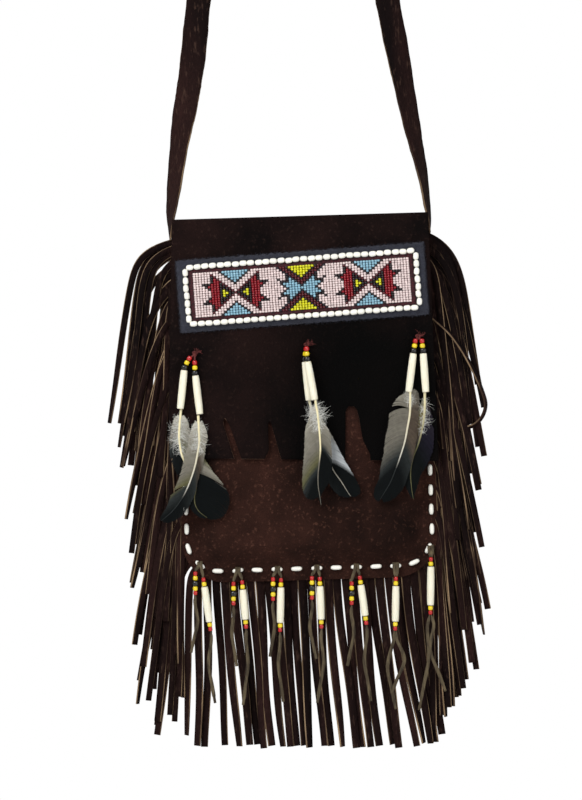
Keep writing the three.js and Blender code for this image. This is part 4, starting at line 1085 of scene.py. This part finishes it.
# Each feather, seen from the front, in millimetres from its drop's knot: the shaft and the two
# vanes' edges, read off the picture in pixels and converted; the quill's pale share; the
# tones; splits in the vanes; and the down's share of the shaft, number of hairs and reach.
FEATHERS = {
    ("left", "front"): {
        "depth": -20.6, "quill": 0.62, "shaft_tones": (CREAM, PALE, SLATE),
        "shaft": [
            (3.1, -56.7), (3.8, -71.1), (4.1, -81.6), (2.7, -90.9), (0.4, -102.4), (-3.1, -113.9),
            (-7.2, -124.3), (-12.9, -134.8), (-21, -145.2), (-30.9, -153.9),
        ],
        "left": [
            (1.9, -59.5), (-2.5, -66.6), (-6, -79.2), (-8.3, -90.9), (-11.5, -103.6),
            (-14.7, -115.1), (-18.7, -124.3), (-22.2, -131.3), (-25.7, -140.6), (-32, -152.1),
            (-31.2, -153.9),
        ],
        "right": [
            (4.2, -59.5), (7.9, -64.2), (11.6, -74.7), (10.2, -85.1), (8.7, -94.3), (6.7, -103.6),
            (3.8, -112.8), (1.5, -122.1), (-1.4, -132.4), (-7.2, -142.8), (-14, -150.9),
            (-24.5, -155.6), (-30.2, -154.4),
        ],
        "left_tones": graded(
            (0, PALE), (0.2, GREY), (0.55, STONE), (0.68, OLIVE), (0.78, SLATE), (0.95, INK),
        ),
        "right_tones": graded((0, PALE), (0.25, GREY), (0.42, UMBER), (0.6, SLATE), (0.85, INK)),
        "splits": ([(0.69, 0.05)], []), "down": (0.26, 130, 13),
    },
    ("left", "rear"): {
        "depth": -17.7, "quill": 0.40, "shaft_tones": (CREAM, CREAM, OLIVE),
        "shaft": [
            (-12.8, -50.2), (-14, -64.2), (-14.7, -75.8), (-13.8, -85.1), (-12.1, -93.2),
            (-6.5, -106), (0.9, -122.1), (-0.4, -132.4), (0.4, -139.4), (3.8, -145.2),
            (11.2, -151.1),
        ],
        "left": [
            (-14, -53.9), (-19.5, -60.5), (-22.3, -71.6), (-23.2, -85.6), (-22.3, -97.7),
            (-17.7, -108.8), (-10.2, -121.8), (-7.4, -133.9), (-2.8, -144.2), (3.7, -150.2),
            (10.2, -152.1),
        ],
        "right": [
            (-12.1, -53.9), (-7.4, -60.5), (-4.7, -69.8), (-4.7, -80.9), (0.9, -90.2), (9.3, -97.7),
            (16.7, -108.8), (27, -121.8), (31.6, -131.1), (30.7, -142.3), (25.1, -150.7),
            (16.7, -152.5), (12.1, -152.1),
        ],
        "left_tones": graded((0, PALE), (0.22, STONE), (0.32, SLATE), (0.45, INK)),
        "right_tones": graded(
            (0, PALE), (0.22, GREY), (0.4, OLIVE), (0.52, GREY), (0.62, STONE), (0.66, INK),
        ),
        "splits": ([], [(0.63, 0.035)]), "down": (0.34, 190, 14),
    },
    ("centre", "front"): {
        "depth": -28.4, "quill": 0.48, "shaft_tones": (CREAM, CREAM, STONE),
        "shaft": [
            (7.8, -46.5), (8.5, -53.8), (10.1, -62.4), (11, -71), (12, -81.6), (12.7, -95.5),
            (11.7, -107.2), (10.6, -117.9), (10.6, -128.5), (12.1, -138.6), (13.3, -146.8),
        ],
        "left": [
            (7, -54.9), (3.7, -63.2), (-0.4, -74.4), (-1.5, -83.7), (-1.9, -93), (-2.7, -107.2),
            (-3.8, -123.2), (-3.2, -133.9), (0, -140.4), (5.6, -141.8), (10.2, -139.5),
            (12.6, -143.2),
        ],
        "right": [
            (9.3, -54.9), (13, -65.1), (17.5, -73.5), (21.3, -80.5), (22.6, -91.1), (23.2, -103),
            (23.2, -115.8), (20.1, -126.5), (15.3, -133.9), (13, -139.5), (13.8, -143.2),
        ],
        "left_tones": graded(
            (0, PALE), (0.2, GREY), (0.55, STONE), (0.7, OLIVE), (0.77, SLATE), (0.84, INK),
        ),
        "right_tones": graded((0, PALE), (0.2, GREY), (0.5, STONE), (0.56, SLATE), (0.6, INK)),
        "splits": ([(0.15, 0.03)], []), "down": (0.26, 170, 15),
    },
    ("centre", "rear"): {
        "depth": -17.7, "quill": 0.1, "shaft_tones": (CREAM, PALE, GREY),
        "shaft": [
            (2.4, -50.2), (4.7, -59.5), (9.3, -75.3), (16.7, -95.8), (24.6, -114.7), (32, -125.4),
            (39.4, -137.1), (40.9, -139),
        ],
        "left": [
            (2.8, -54.9), (2.8, -63.2), (5.6, -78.1), (11.2, -98.6), (17.7, -119), (23.2, -131.1),
            (30.7, -138.6), (37.2, -140.1), (40.5, -139.9),
        ],
        "right": [
            (4.2, -54.9), (10.2, -64.2), (17, -74.1), (22.4, -81.6), (28.8, -93.4), (35.2, -106.1),
            (41.6, -116.8), (48, -128.6), (49.8, -134.8), (47, -138.6), (42.3, -139.9),
        ],
        "left_tones": graded((0, PALE), (0.4, GREY), (0.6, SLATE), (0.9, INK)),
        "right_tones": graded(
            (0, PALE), (0.3, GREY), (0.45, rgb(172, 176, 178)), (0.66, rgb(176, 180, 182)), (0.74, INK),
        ),
        "splits": ([], []), "down": (0.28, 110, 13),
    },
    ("right", "front"): {
        "depth": -20.6, "quill": 0.6, "shaft_tones": (CREAM, PALE, SLATE),
        "shaft": [
            (-7.3, -44.6), (-7.5, -58.2), (-7.7, -69.2), (-10, -83.4), (-12.6, -96.6),
            (-16.6, -109.8), (-20.9, -121.8), (-26.4, -135), (-35.2, -149.4),
        ],
        "left": [
            (-8.4, -47.9), (-12.1, -51.2), (-19.5, -56.3), (-23.7, -62.3), (-26.6, -70.7),
            (-27.7, -81.3), (-30.2, -92.3), (-31.9, -106.5), (-34.6, -119.7), (-36.1, -130.7),
            (-40.4, -140.5), (-40.7, -147.4), (-38.1, -151.1), (-35.6, -151.1),
        ],
        "right": [
            (-6.5, -47.9), (-4.5, -47.2), (-0.1, -51.2), (1, -64.7), (-0.1, -81.3), (-2.2, -97.7),
            (-5.6, -114.2), (-10, -129.5), (-15.4, -141.6), (-25.1, -150.2), (-33, -152.5),
        ],
        "left_tones": graded((0, GREY), (0.2, STONE), (0.5, STONE), (0.72, SLATE), (0.8, INK)),
        "right_tones": graded((0, STONE), (0.25, UMBER), (0.5, UMBER), (0.62, SLATE), (0.8, INK)),
        "splits": ([(0.2, 0.06)], []), "down": (0.1, 50, 9),
    },
    ("right", "rear"): {
        "depth": -17.7, "quill": 0.52, "shaft_tones": (CREAM, OLIVE, OLIVE),
        "shaft": [
            (6.1, -48.4), (6, -64.7), (4.9, -77.9), (2.7, -88.9), (0, -98.8), (-4.3, -109.7),
            (-6.9, -122.8), (-6.2, -138.3), (-4.5, -149.4),
        ],
        "left": [
            (5.1, -53.9), (2.3, -62.3), (-1.4, -70.7), (-4.2, -83.7), (-6.5, -99.5),
            (-10.7, -111.6), (-13.5, -122.8), (-12.6, -133.9), (-8.8, -143.2), (-5.1, -149.7),
        ],
        "right": [
            (7.1, -53.9), (9.3, -62.3), (12.6, -71.6), (14.3, -86.8), (13.6, -103.2), (8.4, -117.5),
            (2.8, -126.5), (-0.9, -137.6), (-3.2, -145.1), (-4.1, -149.7),
        ],
        "left_tones": graded(
            (0, OLIVE), (0.3, rgb(118, 108, 68)), (0.45, UMBER), (0.6, SLATE), (0.75, INK),
        ),
        "right_tones": graded((0, UMBER), (0.16, rgb(40, 34, 42)), (0.5, rgb(24, 22, 34)), (0.7, INK)),
        "splits": ([], [(0.26, 0.05)]), "down": (0.34, 100, 12),
    },
}


def feather(name, look, origin, body, replaced):
    """A feather: two vanes, loose down at its foot and a tapered shaft in front of them."""
    shaft = curved(look["shaft"], 80)
    visible = along_line(shaft, np.linspace(0.06, 1, 80))
    parts = [
        vane(visible, curved(look[side], 80), look["depth"], look[side + "_tones"], 0.1, split, 230)
        for side, split in zip(("left", "right"), look["splits"])
    ]
    share, count, spread = look["down"]
    parts.append(down(visible, share, look["depth"] - 0.2, count, spread, rgb(224, 224, 218)))
    offsets = np.cumsum([0] + [len(points) for points, _, _ in parts[:-1]])
    points = plumb(origin, np.concatenate([p for p, _, _ in parts]))
    faces = np.concatenate([f + offset for (_, f, _), offset in zip(parts, offsets)])
    made = piece(name, points, faces, plume, {"tone": np.concatenate([t for _, _, t in parts])})
    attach(made, body)
    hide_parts(replaced)
    far = np.linspace(0, 1, len(shaft))
    line = np.stack([shaft[:, 0], np.full(len(shaft), look["depth"] - 0.15), shaft[:, 1]], axis=1)
    line[:, 1] += 1.4 * np.clip(1 - far / 0.12, 0, 1)
    quill = rod(name + "_shaft", plumb(origin, line), 1.05 * (1 - far) ** 0.8 + 0.16, plume)
    stops = (0, look["quill"], min(look["quill"] + 0.12, 0.99), 1)
    shades = (*look["shaft_tones"], look["shaft_tones"][-1])
    tones = np.array([np.interp(far[:-1], stops, [shade[k] for shade in shades]) for k in range(3)]).T
    tones = np.concatenate([tones, np.ones((len(tones), 1))], axis=1)
    tones = np.concatenate([np.repeat(tones, len(ROUND), axis=0), tones[[0, -1]]])
    layer = quill.data.attributes.new("tone", "FLOAT_COLOR", "FACE")
    layer.data.foreach_set("color", tones.astype(np.float32).ravel())
    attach(quill, body)


DROP_SPACING, KNOT_HEIGHT, KNOT_Y = 103.4, -54, -17.6
PIPE_LENGTH = 36
DROP_SIZES = {"red": (2.25, 2.2), "yellow": (2.4, 2.15), "black": (3.15, 2.45)}
DROPS = {
    # where and which strand: its depth, its three beads' places, and its lean in degrees
    "left": {"front": (-18.9, ((-0.2, -8), (0, -12.6), (0.2, -17.2)), 6.6),
             "rear": (-18.9, ((-5, -4), (-7.4, -8), (-9.6, -12.2)), -5.8)},
    "centre": {"front": (-26.7, ((0, -3), (0.2, -7.6), (0.5, -12.2)), 10.5),
               "rear": (-18.9, ((-0.5, -3), (-1, -7.6), (-1.5, -12.2)), 5.7)},
    "right": {"front": (-18.9, ((-2.6, -3.4), (-3.4, -7.8), (-4.2, -12.2)), -6.9),
              "rear": (-18.9, ((3.4, -3.4), (3.9, -7.8), (4.4, -12.2)), 3.9)},
}
for place, (spot, strands) in enumerate(DROPS.items()):
    body = "drop_" + spot
    origin = hung(sewn([(place - 1) * DROP_SPACING, 0, KNOT_HEIGHT]))
    middle = origin * 1000
    for layer, (depth, beads, lean) in strands.items():
        lean = math.radians(lean)
        down_line = np.array([math.sin(lean), 0, -math.cos(lean)])
        centres = np.array([[x, depth, z] for x, z in beads])
        axes = np.concatenate([np.diff(centres, axis=0), [down_line]])
        strung(
            f"{body}_{layer}_beads", middle + centres, axes, ("red", "yellow", "black"),
            DROP_SIZES, body, body + "_thong",
        )
        pipe_middle = middle + centres[-1] + down_line * (2.55 + PIPE_LENGTH / 2)
        hairpipe(
            f"{body}_{layer}_pipe", pipe_middle, down_line, PIPE_LENGTH, body,
            f"{body}_hairpipe_{layer}",
        )
        inside = centres[-1] + down_line * 12
        halfway = centres[0] * 0.5 + [0, KNOT_Y / 2, 0]
        line = curved([[0, KNOT_Y, 0], halfway, *centres, inside], 30)
        thong = rod(f"{body}_{layer}_lace", plumb(origin, line), 0.9, red_lace)
        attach(thong, body)
        look = FEATHERS[spot, layer]
        feather(f"{body}_{layer}_feather", look, origin, body, f"{body}_feather_{layer}")
    # The knot: a trefoil, drawn as a closed line, with its last ring joined to the first.
    steps, sides = 60, len(ROUND)
    t = np.linspace(0, 2 * math.pi, steps + 1)[:-1]
    knot = np.stack([
        np.sin(t) + 2 * np.sin(2 * t), -1.2 * np.sin(3 * t), np.cos(t) - 2 * np.cos(2 * t),
    ], axis=1)[None] * 0.72
    across, over = frames(knot)
    thick = np.full((1, steps), 0.75)
    points, faces, _ = swept(knot, across, over, ROUND, thick, thick)
    last, ring = (steps - 1) * sides, np.arange(sides)
    seam = np.array([last + ring, last + (ring + 1) % sides, (ring + 1) % sides, ring]).T
    tied = piece(
        body + "_knot", plumb(origin, points + [0, KNOT_Y, 0.6]), np.concatenate([faces, seam]),
        red_lace, outward=True,
    )
    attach(tied, body)
    # A tuft of loose threads over the knot.
    hair = chance.normal(0, 1, (26, 3)) * [1.2, 0.3, 0.6] + [1.5, -19.6, 1.5]
    tips = hair + chance.normal(0, 1, (26, 3)) * [2.0, 0.8, 1.6] + [1.4, 0, 1.8]
    s = np.linspace(0, 1, 4)[None, :, None]
    bow = chance.normal(0, 0.7, (26, 1, 3)) * s * (1 - s) * 3
    paths = hair[:, None] + (tips - hair)[:, None] * s + bow
    points, faces, _ = blades(paths, np.full((26, 4), 0.13), 0.2, np.ones((26, 4, 4)))
    tuft = piece(body + "_tuft", plumb(origin, points), faces, red_lace)
    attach(tuft, body)


# The tassels: flat olive laces looped over every second bead of the bottom seam, so that only the
# bead's ends show. One end carries glass beads and a bone pipe, and on five tassels the other
# carries glass beads too. On the last two both ends go through the same strand.
TASSELS = (
    # seam bead, side, drop, lean, pipe, tail, sway, and the twin's extra distance and drop
    (-6, 3.2, 11, 8, 33, 66, 4, (0, 6)),
    (-4, 3.8, 8, 5, 28, 70, -3, (0.6, 10)),
    (-2, 3.4, 7, -1, 33, 64, 3, (0.2, 7)),
    (0, 2.6, 7, 2, 31, 68, -4, (0, 7)),
    (2, 2.8, 7, 8, 29, 70, 4, (0, 13)),
    (4, 0, 9, -0.8, 33, 72, -5, None),
    (6, 2, 7.5, -0.5, 36, 88, 6, None),
)
TWIN_SPACING = 7.2
TASSEL_SIZES = {"red": (1.9, 2.0), "yellow": (2.2, 2.15), "black": (3.0, 2.7)}
STRAND = -6.0


def strand_point(top, lean, distance, side=0.0):
    """A point on a strand: down its line from the top, and to one side of it."""
    return [
        top[0] + distance * math.sin(lean) + side * math.cos(lean), STRAND,
        top[1] - distance * math.cos(lean) + side * math.sin(lean),
    ]


def lace(name, over_x, top, lean, beads_end, sway, tail, side, origin, body, replaced):
    """One end of a tassel's lace: from behind its seam bead, over the bead, straight down through
    its own beads, where it is pinched, and on as a swaying tail."""
    end = strand_point(top, lean, beads_end, side)
    drift = np.sign(side) * 1.2
    inside = (-1, 0, *np.array([0.25, 0.5, 0.75]) * beads_end)
    line = [
        (over_x, 2.4, 1.9), (over_x, 0.4, 2.75), (over_x, -1.9, 1.9), (over_x * 1.03, -3.1, -0.6),
        *[strand_point(top, lean, at, side) for at in inside],
        end, (end[0] + 0.1 * sway + drift, STRAND, end[2] - 0.12 * tail),
        (end[0] - 0.5 * sway + 3 * drift, STRAND + 0.8, end[2] - 0.45 * tail),
        (end[0] + 0.3 * sway + 3 * drift, STRAND + 0.4, end[2] - 0.75 * tail),
        (end[0] + sway + 3 * drift, STRAND, end[2] - tail),
    ]
    line = curved(line, 90)
    below = top[1] - line[:, 2]
    pinched = np.clip(np.minimum(below + 2.5, beads_end * math.cos(lean) + 3.5 - below) / 3, 0, 1)
    half = 1.6 - (1.0 if side else 0.85) * pinched + 0.12 * np.sin(line[:, 2] / 5)
    half[line[:, 2] < end[2] - 0.9 * tail] *= 0.8
    flat = [(-1, 0), (-0.8, -1), (0.8, -1), (1, 0), (0.8, 1), (-0.8, 1)]
    path = plumb(origin, line)
    made = rod(name, path, half, olive_lace, flat, 0.34)
    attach(made, body)
    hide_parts(replaced)


for number, (bead, side, drop, lean, pipe, tail, sway, twin) in enumerate(TASSELS, 1):
    body = f"tassel_{number}"
    x, low = seam_at(np.array(FIRST_BEAD + bead * STITCH_PITCH))
    origin = hung([float(x), 0, -float(low)])
    middle, top, lean = origin * 1000, (side, -drop), math.radians(lean)
    line = np.array([math.sin(lean), 0, -math.cos(lean)])
    start = np.array([top[0], STRAND, top[1]])
    upper = middle + start + line * np.array([[2.7], [6.9]])
    lower = middle + start + line * np.array([[9.5 + pipe + 2.2], [9.5 + pipe + 6.35]])
    centre = middle + start + line * (9.3 + pipe / 2)
    on_long = [
        strung(
            body + "_upper", upper, [line] * 2, ("red", "yellow"), TASSEL_SIZES, body,
            body + "_upper_beads",
        ),
        hairpipe(body + "_pipe", centre, line, pipe, body, body + "_hairpipe"),
        strung(
            body + "_lower", lower, [line] * 2, ("yellow", "red"), TASSEL_SIZES, body,
            body + "_lower_beads",
        ),
    ]
    ends = 9.6 + pipe + 9
    if twin:
        apart, short_drop = twin
        short = (side - TWIN_SPACING - apart, -short_drop)
        stack = np.array([2.0, 6.15, 11.0, 15.85, 20.0])
        centres = middle + [short[0], STRAND, short[1]] + stack[:, None] * np.array([0, 0, -1.0])
        on_short = [strung(
            body + "_short", centres, [[0, 0, -1.0]] * 5, ("red", "yellow", "black", "yellow", "red"),
            TASSEL_SIZES, body, body + "_short_beads",
        )]
        lace(
            body + "_lace_long", 1.0, top, lean, ends, sway, tail, 0, origin, body, body + "_lace",
        )
        lace(
            body + "_lace_short", -1.0, short, 0.0, 22.5, -sway, 0.8 * tail, 0, origin, body,
            body + "_lace",
        )
    else:
        lace(
            body + "_lace_right", side + 1.5, top, lean, ends, 1.6 * sway, 0.8 * tail, 0.95, origin,
            body, body + "_lace",
        )
        lace(
            body + "_lace_left", side - 1.5, top, lean, ends, -sway, tail, -0.95, origin, body,
            body + "_lace",
        )
